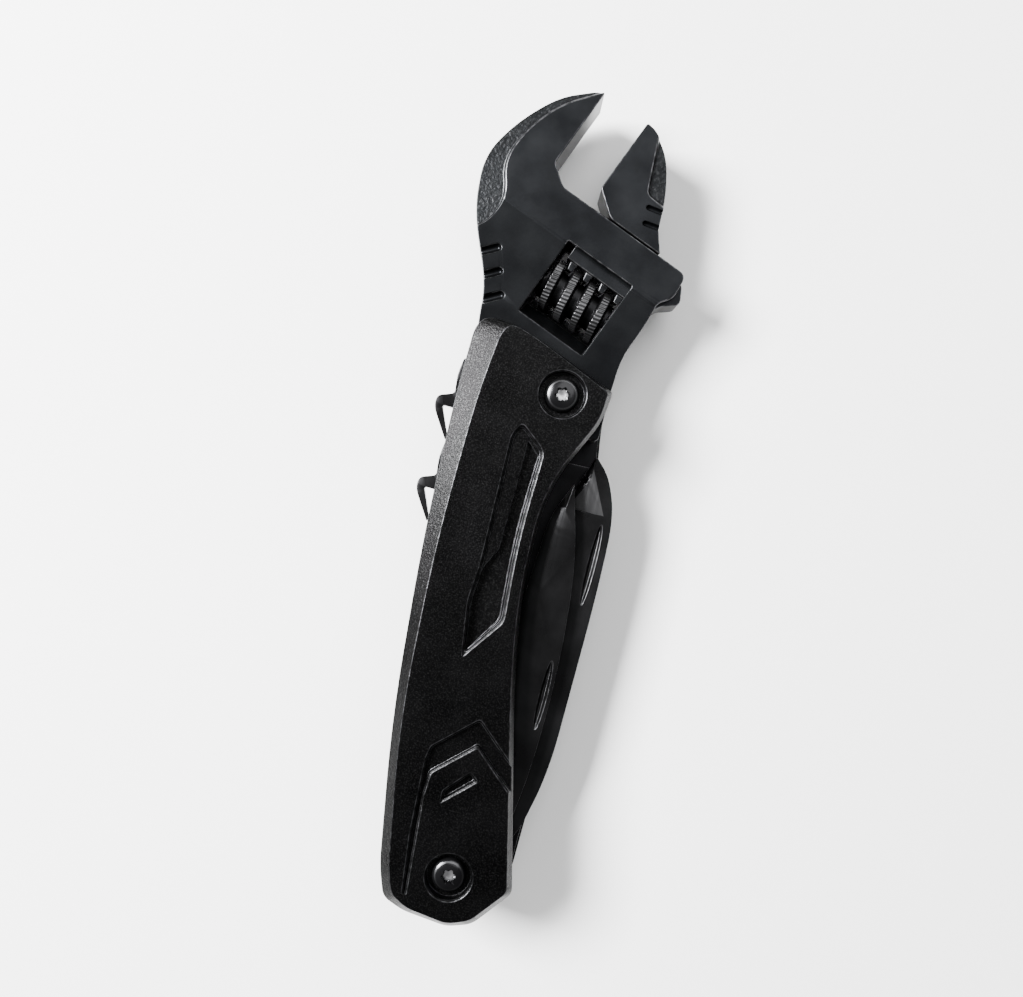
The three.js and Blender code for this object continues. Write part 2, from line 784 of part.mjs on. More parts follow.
function adjustingWorm() {
  const sides = 16;
  const rings = 37;
  const points = [];
  const index = [];
  for (let i = 0; i < rings; i += 1) {
    const x = wormHalfLength * ((2 * i) / (rings - 1) - 1);
    for (let j = 0; j < sides; j += 1) {
      const angle = (2 * Math.PI * j) / sides;
      const radius = threadRadius(x, angle);
      points.push(new THREE.Vector3(x, radius * Math.cos(angle), radius * Math.sin(angle)));
      if (i === 0) continue;
      const [a, b] = [i * sides + j, i * sides + ((j + 1) % sides)];
      index.push(a - sides, b - sides, b, a - sides, b, a);
    }
  }
  const ends = [points.length, points.length + 1];
  points.push(new THREE.Vector3(-wormHalfLength, 0, 0), new THREE.Vector3(wormHalfLength, 0, 0));
  for (let j = 0; j < sides; j += 1) {
    const next = (j + 1) % sides;
    const last = (rings - 1) * sides;
    index.push(ends[0], next, j, ends[1], last + j, last + next);
  }
  const geometry = new THREE.BufferGeometry().setFromPoints(points);
  geometry.setIndex(index);
  const cutters = [
    crossBar(wormBore, -farSide, farSide, 0),
    crossBar(springPocketRadius, -farSide, -wormHalfLength + springPocketDepth, 0),
  ];
  const mesh = piece('adjusting_worm', geometryOf(cut(solid(geometry), cutters)), blackSteel());
  mesh.position.y = wormRise;
  return mesh;
}

function wormPin() {
  const end = 13.9;
  const groove = box(end - 0.7, end + 1, -farSide, farSide, -0.25, 0.25).translate(0, wormRise, 0);
  const body = cut(solid(crossBar(wormPinRadius, -12.3, end, wormRise, 16)), [groove]);
  return piece('worm_pin', geometryOf(body), springSteel());
}

class Coil extends THREE.Curve {
  getPoint(t, target = new THREE.Vector3()) {
    const angle = 2 * Math.PI * springTurns * t;
    const start = -wormHalfLength + 0.15;
    const length = springPocketDepth - 0.6;
    return target.set(
      start + length * t,
      wormRise + springCoilRadius * Math.cos(angle),
      springCoilRadius * Math.sin(angle),
    );
  }
}

function wormSpring() {
  const section = new THREE.Shape().absarc(0, 0, springWireRadius, 0, 2 * Math.PI);
  const geometry = new THREE.ExtrudeGeometry(section, {
    steps: springTurns * 8,
    curveSegments: 3,
    extrudePath: new Coil(),
  });
  return piece('worm_spring', closed(geometry), springSteel());
}

// ---- Assembly ----
const tool = new THREE.Group();
const middle = layers.centreLiner;

const head = new THREE.Group();
head.position.set(headShift, top + headRise, headMiddle);
head.rotation.z = headTilt;
head.add(wrenchHead(), movableJaw(), adjustingWorm(), wormPin(), wormSpring());

tool.add(
  rearScale(),
  frontScale(),
  liner('rear_liner', plainSide, layers.rearLiner, rightPins),
  liner('front_liner', openSide, layers.frontLiner, leftPins),
  centreLiner(),
  barrel('top_axle', top),
  barrel('bottom_axle', 0),
  screw('top_screw_front', top, true),
  screw('top_screw_rear', top, false),
  screw('bottom_screw_front', 0, true),
  screw('bottom_screw_rear', 0, false),
  washer('front_washer', layers.frontWasher),
  washer('blade_washer', layers.bladeWasher),
  washer('opener_washer', layers.openerWasher),
  washer('rear_washer', layers.rearWasher),
  pin('tang_pin', tangPin, barrelLow, barrelHigh),
  pin('left_spring_pin_lower', leftPins[0], middle[0], barrelHigh),
  pin('left_spring_pin_upper', leftPins[1], middle[0], barrelHigh),
  pin('right_spring_pin_lower', rightPins[0], barrelLow, middle[1]),
  pin('right_spring_pin_upper', rightPins[1], barrelLow, middle[1]),
  leafSpring('small_blade_spring', leftSpring, layers.smallBlade, leftPins),
  leafSpring('large_blade_spring', leftSpring, layers.largeBlade, leftPins),
  leafSpring('can_opener_spring', rightSpring, layers.canOpener, rightPins),
  leafSpring('bottle_opener_spring', rightSpring, layers.bottleOpener, rightPins),
  foldingTool('small_blade', smallBladeCorners(), layers.smallBlade, edgeThickness, [
    nick(spine - 5.4, 34, 43, layers.smallBlade),
  ]),
  foldingTool('large_blade', largeBladeCorners(), layers.largeBlade, edgeThickness, [
    nick(spine - 2.4, 58, 70, layers.largeBlade),
  ]),
  foldingTool('can_opener', openerCorners(canOpenerLength), layers.canOpener, 0.8),
  foldingTool('bottle_opener', openerCorners(bottleOpenerLength), layers.bottleOpener, 0.8),
  head,
);

// The origin goes to the middle of the bottom of the bounding box.
tool.updateMatrixWorld(true);
const bounds = new THREE.Box3().setFromObject(tool, true);
const centre = bounds.getCenter(new THREE.Vector3());
tool.position.set(-centre.x, -centre.y, -bounds.min.z);

export default tool;
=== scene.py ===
"""Folding multi-tool with an adjustable wrench head: the looks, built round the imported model."""

import json
import math

import bmesh
import bpy
from mathutils import Matrix, Vector


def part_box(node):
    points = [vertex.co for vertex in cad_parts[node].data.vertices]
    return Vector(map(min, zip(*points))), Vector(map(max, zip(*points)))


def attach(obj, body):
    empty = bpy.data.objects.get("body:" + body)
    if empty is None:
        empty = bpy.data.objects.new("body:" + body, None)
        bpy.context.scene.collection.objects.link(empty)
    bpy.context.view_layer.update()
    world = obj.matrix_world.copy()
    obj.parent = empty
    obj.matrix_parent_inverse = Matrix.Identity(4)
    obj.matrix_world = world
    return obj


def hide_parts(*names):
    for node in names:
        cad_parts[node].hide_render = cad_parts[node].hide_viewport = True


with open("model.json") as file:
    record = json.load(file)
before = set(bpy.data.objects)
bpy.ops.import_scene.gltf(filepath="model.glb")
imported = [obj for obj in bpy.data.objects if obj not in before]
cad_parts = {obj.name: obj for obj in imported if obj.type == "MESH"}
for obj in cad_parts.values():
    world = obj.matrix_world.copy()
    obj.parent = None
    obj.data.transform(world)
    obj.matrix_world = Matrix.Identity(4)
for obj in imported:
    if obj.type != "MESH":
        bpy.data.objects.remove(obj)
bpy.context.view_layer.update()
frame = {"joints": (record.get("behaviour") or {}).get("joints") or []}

MM = 0.001
ROUND_STEPS = 10  # straight pieces in each rounded corner
BAR_SIDES = 48
EDGE_ANGLE = 28  # degrees; a sharper fold than this is rounded off
SHARP_ANGLE = 40  # degrees; a fold past this is shaded as an edge
FAR = 40  # well past the part, for cutters that run out of it


# ---- Places, from the frame, in millimetres ----
def centre_mm(node):
    low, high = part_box(node)
    return (low + high) / 2 / MM


def heights(node):
    low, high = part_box(node)
    return low.z / MM, high.z / MM


AXLE = centre_mm("bottom_axle")
TOP = centre_mm("top_axle").y - AXLE.y  # the top axle, in the drawing frame
JOINTS = {joint["name"]: joint for joint in frame["joints"]}
SLIDE = Vector(JOINTS["jaw_slide"]["axis"])
HEAD_TILT = math.atan2(SLIDE.y, SLIDE.x)
WORM_RISE = 0.4  # worm axis above the window centre, along the head
WORM_AXIS = Vector(JOINTS["worm_turn"]["pos_m"]) / MM
HEAD_UP = Vector((-math.sin(HEAD_TILT), math.cos(HEAD_TILT), 0))
HEAD = WORM_AXIS - WORM_RISE * HEAD_UP  # the window centre
SCALE_LOW, SCALE_HIGH = heights("front_scale")
SCALE_THICKNESS = SCALE_HIGH - SCALE_LOW
HEAD_LOW, HEAD_HIGH = heights("wrench_head")
HEAD_HALF = (HEAD_HIGH - HEAD_LOW) / 2

# Handle frame: millimetres from the bottom axle. Head frame: from the window centre, turned.
HANDLE_FRAME = Matrix.Translation((AXLE.x, AXLE.y, 0))
HEAD_FRAME = Matrix.Translation(HEAD) @ Matrix.Rotation(HEAD_TILT, 4, "Z")


# ---- Camera, lights and floor ----
VIEW_POINT = Vector((-4.9, 72.9))  # the spot under the camera, in the handle frame
VIEW_DISTANCE = 190.0  # from the front scale's face
VIEW_ROLL = 13.29  # degrees
LENS = 35.2
SENSOR = 36
FLOOR_SIZE = 6
FLOOR_DROP = 0.0002  # below the part, so the two don't share a plane
WORLD_STRENGTH = 0.45


def make_camera():
    camera = bpy.data.objects.new("camera", bpy.data.cameras.new("camera"))
    bpy.context.collection.objects.link(camera)
    place = Vector((AXLE.x + VIEW_POINT.x, AXLE.y + VIEW_POINT.y, SCALE_HIGH + VIEW_DISTANCE))
    camera.location = place * MM
    camera.rotation_euler = (0, 0, math.radians(VIEW_ROLL))
    camera.data.lens = LENS
    camera.data.sensor_width = SENSOR
    camera.data.clip_start = 0.01
    bpy.context.scene.camera = camera


def area_light(name, place, target, size, power):
    light = bpy.data.lights.new(name, "AREA")
    light.shape = "RECTANGLE"
    light.size, light.size_y = size
    light.energy = power
    lamp = bpy.data.objects.new(name, light)
    bpy.context.collection.objects.link(lamp)
    lamp.location = place
    lamp.rotation_euler = (Vector(target) - Vector(place)).to_track_quat("-Z", "Y").to_euler()


def make_studio():
    bpy.ops.mesh.primitive_plane_add(size=FLOOR_SIZE)
    floor = bpy.context.object
    floor.name = "floor"
    floor.location.z = -FLOOR_DROP
    floor.data.materials.append(plain_material("floor_paper", (0.93, 0.93, 0.93), 0.9))
    world = bpy.data.worlds.new("studio")
    world.use_nodes = True
    world.node_tree.nodes["Background"].inputs["Color"].default_value = (1, 1, 1, 1)
    world.node_tree.nodes["Background"].inputs["Strength"].default_value = WORLD_STRENGTH
    bpy.context.scene.world = world
    area_light("key", (-0.55, 0.12, 0.52), (0, 0.02, 0.01), (0.32, 0.28), 44)
    area_light("fill", (0.2, 0.55, 0.85), (0, 0, 0), (0.8, 0.8), 9)


# ---- Materials ----
# Scales of the looks' noises, per metre
PATCHES = 95
WEAR = 700
BRUSHING = 900
CAST_SKIN = 1500


def plain_material(name, colour, roughness):
    material = bpy.data.materials.new(name)
    material.use_nodes = True
    shader = material.node_tree.nodes["Principled BSDF"]
    shader.inputs["Base Color"].default_value = (*colour, 1)
    shader.inputs["Roughness"].default_value = roughness
    return material


def metal(name, dark, light, rough, grain, speckle=0.0, brush=None, rubbed_and_sheen=None, bump=0.15,
          metallic=0.9, coarse=0.0, specular=0.5):
    """A metal: dark and light base colours, low and high roughness, and its grain in metres.
    rubbed is the bright colour that wear leaves in patches, brush the direction of the brushing
    in radians, and coarse the strength of a cast skin."""
    material = bpy.data.materials.new(name)
    material.use_nodes = True
    tree = material.node_tree
    nodes, links = tree.nodes, tree.links
    shader = nodes["Principled BSDF"]
    shader.inputs["Metallic"].default_value = metallic
    shader.inputs["Specular IOR Level"].default_value = specular
    place = nodes.new("ShaderNodeTexCoord").outputs["Object"]

    def noise(scale, detail, stretch=None):
        source = place
        if stretch is not None:
            mapping = nodes.new("ShaderNodeMapping")
            mapping.inputs["Rotation"].default_value = (0, 0, stretch[1])
            mapping.inputs["Scale"].default_value = stretch[0]
            links.new(place, mapping.inputs["Vector"])
            source = mapping.outputs["Vector"]
        node = nodes.new("ShaderNodeTexNoise")
        node.inputs["Scale"].default_value = scale
        node.inputs["Detail"].default_value = detail
        links.new(source, node.inputs["Vector"])
        return node.outputs["Fac"]

    def ramp(source, low, high, black, white):
        node = nodes.new("ShaderNodeMapRange")
        node.inputs["From Min"].default_value = low
        node.inputs["From Max"].default_value = high
        node.inputs["To Min"].default_value = black
        node.inputs["To Max"].default_value = white
        links.new(source, node.inputs["Value"])
        return node.outputs["Result"]

    def mix(share, first, second):
        node = nodes.new("ShaderNodeMix")
        node.data_type = "RGBA"
        links.new(share, node.inputs["Factor"])
        for socket, value in (("A", first), ("B", second)):
            target = [s for s in node.inputs if s.name == socket and s.type == "RGBA"][0]
            if isinstance(value, tuple):
                target.default_value = (*value, 1)
            else:
                links.new(value, target)
        return [s for s in node.outputs if s.type == "RGBA"][0]

    fine = noise(1 / grain, 3)
    broad = noise(PATCHES, 4)
    colour = mix(ramp(broad, 0.36, 0.62, 0, 1), dark, light)
    if speckle:
        bright = tuple(min(1, speckle + value) for value in light)
        colour = mix(ramp(fine, 0.5, 0.7, 0, 1), colour, bright)
    if rubbed_and_sheen:
        colour = mix(ramp(noise(WEAR, 4), 0.42, 0.6, 0.1, 0.9), colour, rubbed_and_sheen)
    links.new(colour, shader.inputs["Base Color"])
    links.new(ramp(broad, 0.3, 0.75, *rough), shader.inputs["Roughness"])

    height = fine
    if brush is not None:
        height = noise(BRUSHING, 2, ((1, 0.03, 1), brush))
    surface = nodes.new("ShaderNodeBump")
    surface.inputs["Strength"].default_value = bump
    surface.inputs["Distance"].default_value = grain * 0.5
    links.new(height, surface.inputs["Height"])
    normal = surface.outputs["Normal"]
    if coarse:
        cast = nodes.new("ShaderNodeBump")
        cast.inputs["Strength"].default_value = coarse
        cast.inputs["Distance"].default_value = 0.0003
        links.new(noise(CAST_SKIN, 5), cast.inputs["Height"])
        links.new(normal, cast.inputs["Normal"])
        normal = cast.outputs["Normal"]
    links.new(normal, shader.inputs["Normal"])
    return material


# ---- Modelling kit: shapes are drawn in millimetres and stored in metres ----
def outline(corners, share=0.0, steps=ROUND_STEPS):
    """Points of a closed outline. A corner is (x, y, round, dx, dy): rounding starts at the
    distance round from it, and the bevelled copy of the outline is moved there by dx, dy."""
    full = [tuple(corner) + (0,) * (5 - len(corner)) for corner in corners]
    moved = [Vector((x + share * dx, y + share * dy)) for x, y, _, dx, dy in full]
    points = []
    for i, corner in enumerate(moved):
        reach = full[i][2]
        if not reach:
            points.append(corner)
            continue
        ends = []
        for other in (moved[i - 1], moved[(i + 1) % len(moved)]):
            side = other - corner
            ends.append(corner + side * min(reach / side.length, 0.46))
        for k in range(steps + 1):
            t = k / steps
            points.append(ends[0] * (1 - t) ** 2 + corner * 2 * t * (1 - t) + ends[1] * t * t)
    return points


def shrunk(corners, distance):
    """The outline moved inwards all round."""
    points = [Vector(corner[:2]) for corner in corners]
    count = len(points)
    area = sum(points[i].cross(points[(i + 1) % count]) for i in range(count))
    inward = 1 if area > 0 else -1
    normals = []
    for i, point in enumerate(points):
        edge = (points[(i + 1) % count] - point).normalized()
        normals.append(Vector((-edge.y, edge.x)) * inward)
    moved = []
    for i, corner in enumerate(corners):
        before, after = normals[i - 1], normals[i]
        step = (before + after) * (distance / (1 + before.dot(after)))
        moved.append((corner[0] + step.x, corner[1] + step.y, *corner[2:]))
    return moved


def solid(name, points, faces):
    mesh = bpy.data.meshes.new(name)
    mesh.from_pydata([Vector(p) * MM for p in points], [], faces)
    work = bmesh.new()
    work.from_mesh(mesh)
    bmesh.ops.remove_doubles(work, verts=work.verts, dist=1e-7)
    bmesh.ops.recalc_face_normals(work, faces=work.faces)
    work.to_mesh(mesh)
    work.free()
    piece = bpy.data.objects.new(name, mesh)
    bpy.context.collection.objects.link(piece)
    return piece


def rings_solid(name, rings):
    """A closed solid through rings of points, with flat ends."""
    count = len(rings[0])
    points = [p for ring in rings for p in ring]
    faces = []
    for k in range(len(rings) - 1):
        for i in range(count):
            j = (i + 1) % count
            low, high = k * count, (k + 1) * count
            faces.append((low + i, low + j, high + j, high + i))
    last = (len(rings) - 1) * count
    faces.append(tuple(reversed(range(count))))
    faces.append(tuple(range(last, last + count)))
    return solid(name, points, faces)


def loft(name, corners, levels, steps=ROUND_STEPS):
    """An outline through levels of (z, share of its bevel)."""
    return rings_solid(name, [[(p.x, p.y, z) for p in outline(corners, share, steps)]
                              for z, share in levels])


def prism(corners, low, high):
    return loft("cutter", corners, [(low, 0), (high, 0)])


def block(x0, x1, y0, y1, z0, z1):
    return prism([(x0, y0), (x1, y0), (x1, y1), (x0, y1)], z0, z1)


def lathe(name, profile, sides=64, place=(0, 0)):
    """A turned piece about Z, from (radius, z) pairs that start and end on the axis."""
    rings = []
    for radius, z in profile:
        radius = max(radius, 0.001)
        turn = [2 * math.pi * i / sides for i in range(sides)]
        rings.append([(place[0] + radius * math.cos(a), place[1] + radius * math.sin(a), z) for a in turn])
    return rings_solid(name, rings)


def bar(radius, low, high, x=0.0, y=0.0, sides=BAR_SIDES):
    """A bar along Z."""
    return lathe("cutter", [(radius, low), (radius, high)], sides, (x, y))


def cross_bar(radius, start, end, y):
    """A bar along X."""
    turn = [2 * math.pi * i / BAR_SIDES for i in range(BAR_SIDES)]
    rings = [[(x, y + radius * math.cos(a), radius * math.sin(a)) for a in turn] for x in (start, end)]
    return rings_solid("cutter", rings)


def settle_mesh(piece):
    """Applies the piece's modifiers."""
    view = bpy.context.evaluated_depsgraph_get()
    mesh = bpy.data.meshes.new_from_object(piece.evaluated_get(view))
    piece.modifiers.clear()
    piece.data = mesh


def combine(piece, others, operation):
    for other in others:
        change = piece.modifiers.new("cut", "BOOLEAN")
        change.operation = operation
        change.solver = "EXACT"
        change.object = other
    settle_mesh(piece)
    for other in others:
        bpy.data.objects.remove(other)
    return piece


def carve(piece, cutters):
    return combine(piece, cutters, "DIFFERENCE")


def weld(piece, others):
    return combine(piece, others, "UNION")


def clean(piece):
    """Merges doubled points, drops the slivers that a cut leaves, and splits the wide faces, which
    would otherwise fold over themselves where they run round an opening."""
    work = bmesh.new()
    work.from_mesh(piece.data)
    bmesh.ops.remove_doubles(work, verts=work.verts, dist=4e-6)
    bmesh.ops.dissolve_degenerate(work, edges=work.edges, dist=2e-6)
    bmesh.ops.triangulate(work, faces=[face for face in work.faces if len(face.verts) > 4])
    work.to_mesh(piece.data)
    work.free()


def round_edges(piece, width, looks, segments=3, angle=EDGE_ANGLE):
    """Rounds the piece's edges by width millimetres. The rounded faces take the last look."""
    clean(piece)
    for look in looks:
        piece.data.materials.append(look)
    round_off = piece.modifiers.new("edges", "BEVEL")
    round_off.width = width * MM
    round_off.segments = segments
    round_off.limit_method = "ANGLE"
    round_off.angle_limit = math.radians(angle)
    round_off.use_clamp_overlap = False
    round_off.loop_slide = False
    round_off.miter_outer = "MITER_ARC"
    round_off.material = len(looks) - 1
    settle_mesh(piece)


def shade(piece):
    """Smooths the shading, and keeps flat faces flat."""
    for face in piece.data.polygons:
        face.use_smooth = True
    piece.data.set_sharp_from_angle(angle=math.radians(SHARP_ANGLE))
    flat = piece.modifiers.new("normals", "WEIGHTED_NORMAL")
    flat.keep_sharp = True
    flat.weight = 80
    settle_mesh(piece)


def soften(piece, width, looks, segments=3, angle=EDGE_ANGLE):
    """Rounds the piece's edges and smooths its shading."""
    round_edges(piece, width, looks, segments, angle)
    shade(piece)
    return piece


def paint(piece, look, chosen):
    """Gives a look to the faces for which chosen(centre in millimetres, normal) holds."""
    piece.data.materials.append(look)
    index = len(piece.data.materials) - 1
    for face in piece.data.polygons:
        if chosen(face.center / MM, face.normal):
            face.material_index = index


def place_piece(piece, matrix, body, slot, *nodes):
    """Moves the mesh from its drawing frame to the row frame, and hands the piece over."""
    metres = matrix.copy()
    metres.translation = matrix.translation * MM
    piece.data.transform(metres)
    if metres.determinant() < 0:
        piece.data.flip_normals()
    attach(piece, body)
    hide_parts(*nodes)
    return piece


# ---- Handle outlines, in the handle frame ----
LEFT = 19.7
RIGHT = 12.6
END = 9.79  # the lower end, just inside the model's box
BEVEL_DROP = 1.7

OPEN_SIDE = [
    (9.4, TOP + 2.7, 0.8, -1.0, -0.4),
    (8.6, TOP - 3.4, 3, -0.6, 0.3),
    (1.2, TOP - 18.4, 9, -0.6, 0.2),
    (1.2, 50, 22, -0.6, -0.2),
]
PLAIN_SIDE = [
    (9.4, TOP + 2.7, 0.8, -1.0, -0.4),
    (RIGHT - 2.4, TOP - 8, 6, -0.6, 0.3),
    (RIGHT + 1.2, TOP - 24, 8, -0.6, 0.2),
    (RIGHT + 1.4, 40, 12, -0.6, 0),
]


def handle_corners(right_side):
    return [
        (-LEFT + 0.5, TOP + 11.6, 4.6, 5.4, -0.8),
        (-11, TOP + 11.2, 9, 1.6, -0.9),
        *right_side,
        (RIGHT, -0.8, 1.2, -1.2, 0.5),
        (6.4, -END + 1.5, 1.5, -0.7, 1.2),
        (1.7, -END, 1.5, -0.2, 1.2),
        (-7.2, -END + 1.1, 1.5, 0.6, 1.3),
        (-LEFT + 8.3, -END + 2.8, 1.5, 1.4, 1.6),
        (-LEFT + 6.3, -1.2, 3, 1.8, 0.8),
        (-LEFT + 2.1, 27, 14, 1.7, 0),
        (-LEFT, 62, 14, 2.8, 0),
        (-LEFT - 0.2, TOP - 4, 8, 4.2, 0),
    ]


POCKET = [
    (-6.2, TOP - 6.9, 1.2),
    (-7.7, TOP - 9.6, 1.2),
    (-7.9, 59),
    (-8.6, 52, 1.5),
    (-7.2, 41.2, 1),
    (-0.9, 49.6, 1.2),
    (-1.7, 66, 8),
    (-0.8, TOP - 11.4, 1.5),
]
POCKET_FLOOR = [
    (-4.3, TOP - 10.1),
    (-5.0, 63),
    (-7.3, 58.6, 1),
    (-7.9, 52, 1),
    (-6.9, 42.4),
    (-1.9, 49.8, 1),
    (-2.7, 66, 8),
    (-1.8, TOP - 12.4),
]
GROOVE = [
    (-7.9, -5.9),
    (-9.1, 6.4),
    (-9.5, 21),
    (-9.0, 23.6, 0.6),
    (-1.0, 30.7, 0.8),
    (6.3, 24),
    (RIGHT + 4, 15.5),
    (RIGHT + 4, 9.8),
    (-0.3, 25.3, 0.5),
    (-7.8, 18.6, 0.6),
    (-8.2, 14),
    (-7.1, -5.7),
]
PANEL_SLOT = [
    (-4.9, 13.2, 0.4),
    (-5.0, 15.9, 0.6),
    (-0.5, 20.6, 0.6),
    (1.4, 19.0, 0.6),
]
COUNTERBORE = 4.5
SCREW_SEAT = 1.0
POCKET_DEPTH = 2.0
STRIP_DEPTH = 0.8
GROOVE_DEPTH = 1.1
SLOT_DEPTH = 1.3
SHELL_INSET = 0.04  # keeps the scale's faces just inside the model's box
SCALE_ROUND = 0.1
SCALE_EDGE_ANGLE = 16
SHANK = 1.5
AXLE_RADIUS = 2.6
HOLE_GAP = 0.15
LIP_RUN, LIP_DROP = 0.45, 0.28  # the chamfer round each pocket's mouth


def tapered(corners, floor, mouth, slope):
    """A pocket's cutter, with walls that lean out by slope and a chamfered lip."""
    wall, lip = shrunk(corners, -slope), shrunk(corners, -slope - LIP_RUN)
    levels = ((corners, floor), (wall, mouth - LIP_DROP), (lip, mouth), (lip, mouth + 1))
    return rings_solid("cutter", [[(p.x, p.y, z) for p in outline(ring, 0, 9)] for ring, z in levels])


def scale_piece(name, right_side, looks):
    high = SCALE_THICKNESS
    levels = [(SHELL_INSET, 0), (high - BEVEL_DROP, 0), (high - SHELL_INSET, 1)]
    piece = loft(name, handle_corners(right_side), levels, 12)
    cutters = [
        tapered(shrunk(POCKET, 0.5), high - STRIP_DEPTH, high, 0.15),
        prism(POCKET_FLOOR, high - POCKET_DEPTH, high - 0.75),
        tapered(shrunk(GROOVE, 0.42), high - GROOVE_DEPTH, high, 0.1),
        tapered(shrunk(PANEL_SLOT, 0.55), high - SLOT_DEPTH, high, 0.15),
    ]
    for y in (0, TOP):
        profile = [(COUNTERBORE - 0.2, SCREW_SEAT), (COUNTERBORE - 0.15, high - 0.35),
                   (COUNTERBORE + 0.2, high), (COUNTERBORE + 0.2, high + 1)]
        cutters.append(lathe("cutter", profile, 72, (0, y)))
        cutters.append(bar(SHANK + HOLE_GAP, -1, high + 1, 0, y))
    carve(piece, cutters)
    return soften(piece, SCALE_ROUND, looks, angle=SCALE_EDGE_ANGLE)


def make_scales(looks):
    front = scale_piece("front_scale_shell", OPEN_SIDE, looks)
    place_piece(front, HANDLE_FRAME @ Matrix.Translation((0, 0, SCALE_LOW)),
                "handle", "anodised_scale", "front_scale")
    rear = scale_piece("rear_scale_shell", PLAIN_SIDE, looks)
    flipped = Matrix.Translation((0, 0, SCALE_THICKNESS)) @ Matrix.Scale(-1, 4, (0, 0, 1))
    place_piece(rear, HANDLE_FRAME @ flipped, "handle", "anodised_scale", "rear_scale")


# ---- Screws ----
SCREW_HEAD = 3.35
SCREW_CROWN = 1.75
SCREW_LENGTH = 5.0
SCREW_TURN = 15  # degrees
STAR_SIDES = 72
STAR_LOBES = 6
STAR_DEPTH = 0.17


def star_ring(radius, z):
    """A ring of the six-lobed recess."""
    ring = []
    for i in range(STAR_SIDES):
        angle = 2 * math.pi * i / STAR_SIDES
        reach = radius * (1 + STAR_DEPTH * math.cos(STAR_LOBES * angle))
        ring.append((reach * math.cos(angle), reach * math.sin(angle), z))
    return ring


def make_screw(name, node, y, front, gloss, ring, bright):
    """A button head on its shank, with a six-lobed recess. Its seat is at z = 0. The ring look is a painted
    reflection round the dome, and the bright look a painted glint in the recess.
    """
    head, crown = SCREW_HEAD, SCREW_CROWN
    profile = [(0, -SCREW_LENGTH), (SHANK - 0.3, -SCREW_LENGTH), (SHANK, -4.7), (SHANK, 0),
               (head - 0.15, 0), (head, 0.12), (head, 0.45), (head - 0.1, 0.72)]
    for k in range(1, 9):  # the button's dome
        angle = math.radians(10 * k)
        profile.append((0.2 + (head - 0.3) * math.cos(angle), 0.72 + (crown - 0.74) * math.sin(angle)))
    profile += [(0.4, crown), (0, crown)]
    piece = lathe(name, profile, 96)
    recess = rings_solid("cutter", [star_ring(1.05, crown - 1.1), star_ring(1.2, crown - 0.95),
                                    star_ring(1.2, crown - 0.25), star_ring(1.5, crown + 0.05),
                                    star_ring(1.5, crown + 1)])
    pit = lathe("cutter", [(0, crown - 1.4), (0.95, crown - 0.95), (0.95, crown), (0, crown)], 32)
    carve(piece, [recess, pit])
    clean(piece)
    piece.data.materials.append(gloss)
    shade(piece)
    # painted reflection: a bright ring round the dome's shoulder
    paint(piece, ring, lambda at, _: 2.5 < at.xy.length < 2.95 and at.z > 0.7)
    # painted glint: the lower part of the recess takes a bright steel look
    paint(piece, bright, lambda at, _: at.xy.length < 1.1 and 0.2 < at.z < crown - 0.85)
    seat = SCREW_SEAT + 0.1
    if front:
        turned = Matrix.Rotation(math.radians(SCREW_TURN), 4, "Z")
        frame_of = Matrix.Translation((0, y, SCALE_LOW + seat)) @ turned
    else:
        turned = Matrix.Rotation(math.pi, 4, "X")
        frame_of = Matrix.Translation((0, y, SCALE_THICKNESS - seat)) @ turned
    place_piece(piece, HANDLE_FRAME @ frame_of, "handle", "screw_black", node)


# ---- Liners ----
LEFT_PINS = [(-LEFT + 3.3 + 1.2, 34), (-LEFT + 3.3, 70)]
RIGHT_PINS = [(RIGHT - 2.2, 34), (RIGHT - 2.2, 70)]
TANG_PIN = (-5.5, TOP - 1.5)
PIN = 1.0
PLATE_ROUND = 0.08
CENTRE_LINER_TOP = TOP - 12


def through_holes(places, radius, low, high):
    return [bar(radius + HOLE_GAP, low - 1, high + 1, x, y) for x, y in places]


def make_liner(node, right_side, inset, pins, axles, looks, cut_above=None):
    low, high = heights(node)
    piece = loft(node + "_plate", shrunk(handle_corners(right_side), inset), [(low, 0), (high, 0)], 8)
    cutters = through_holes(axles, AXLE_RADIUS, low, high) + through_holes(pins, PIN, low, high)
    if cut_above is not None:
        cutters.append(block(-FAR, FAR, cut_above, cut_above + 60, low - 1, high + 1))
    carve(piece, cutters)
    soften(piece, PLATE_ROUND, looks, 2)
    place_piece(piece, HANDLE_FRAME, "handle", "liner_steel", node)


# ---- Folding tools, in the handle frame ----
TANG_RADIUS = 5.2
LARGE_BLADE = 83.9  # lengths from the axle
SMALL_BLADE = 78.5
CAN_OPENER = 98.2
BOTTLE_OPENER = 81.4
BLADE_EDGE, OPENER_EDGE = 0.3, 0.8  # thickness left at the ground edge
TOOL_ROUND = 0.07
SPINE = RIGHT + 3.2
SHANK_LINE = -LEFT + 1.3
CLAW = -LEFT - 4.57
FACET_SLOPE = 0.18
FACET_START, FACET_END = (13.7, 73.7), (10.9, 79.8)


def large_blade_corners():
    length = LARGE_BLADE
    return [
        (4.9, 0.4),
        (11.2, 8, 5),
        (SPINE - 1.2, 22, 8),
        (SPINE, 58, 12),
        (SPINE - 0.2, length - 10, 6),
        (SPINE - 2.9, length - 2.6, 3),
        (SPINE - 6.2, length + 0.9, 0.6),
        (7.0, length - 6, 3, 2.4, -1.4),
        (5.7, length - 22, 8, 3.4, 0),
        (5.4, 25, 2, 3.4, 0),
        (4.6, 18, 2),
        (-1, 9, 3),
        (-4.6, 2.2),
    ]


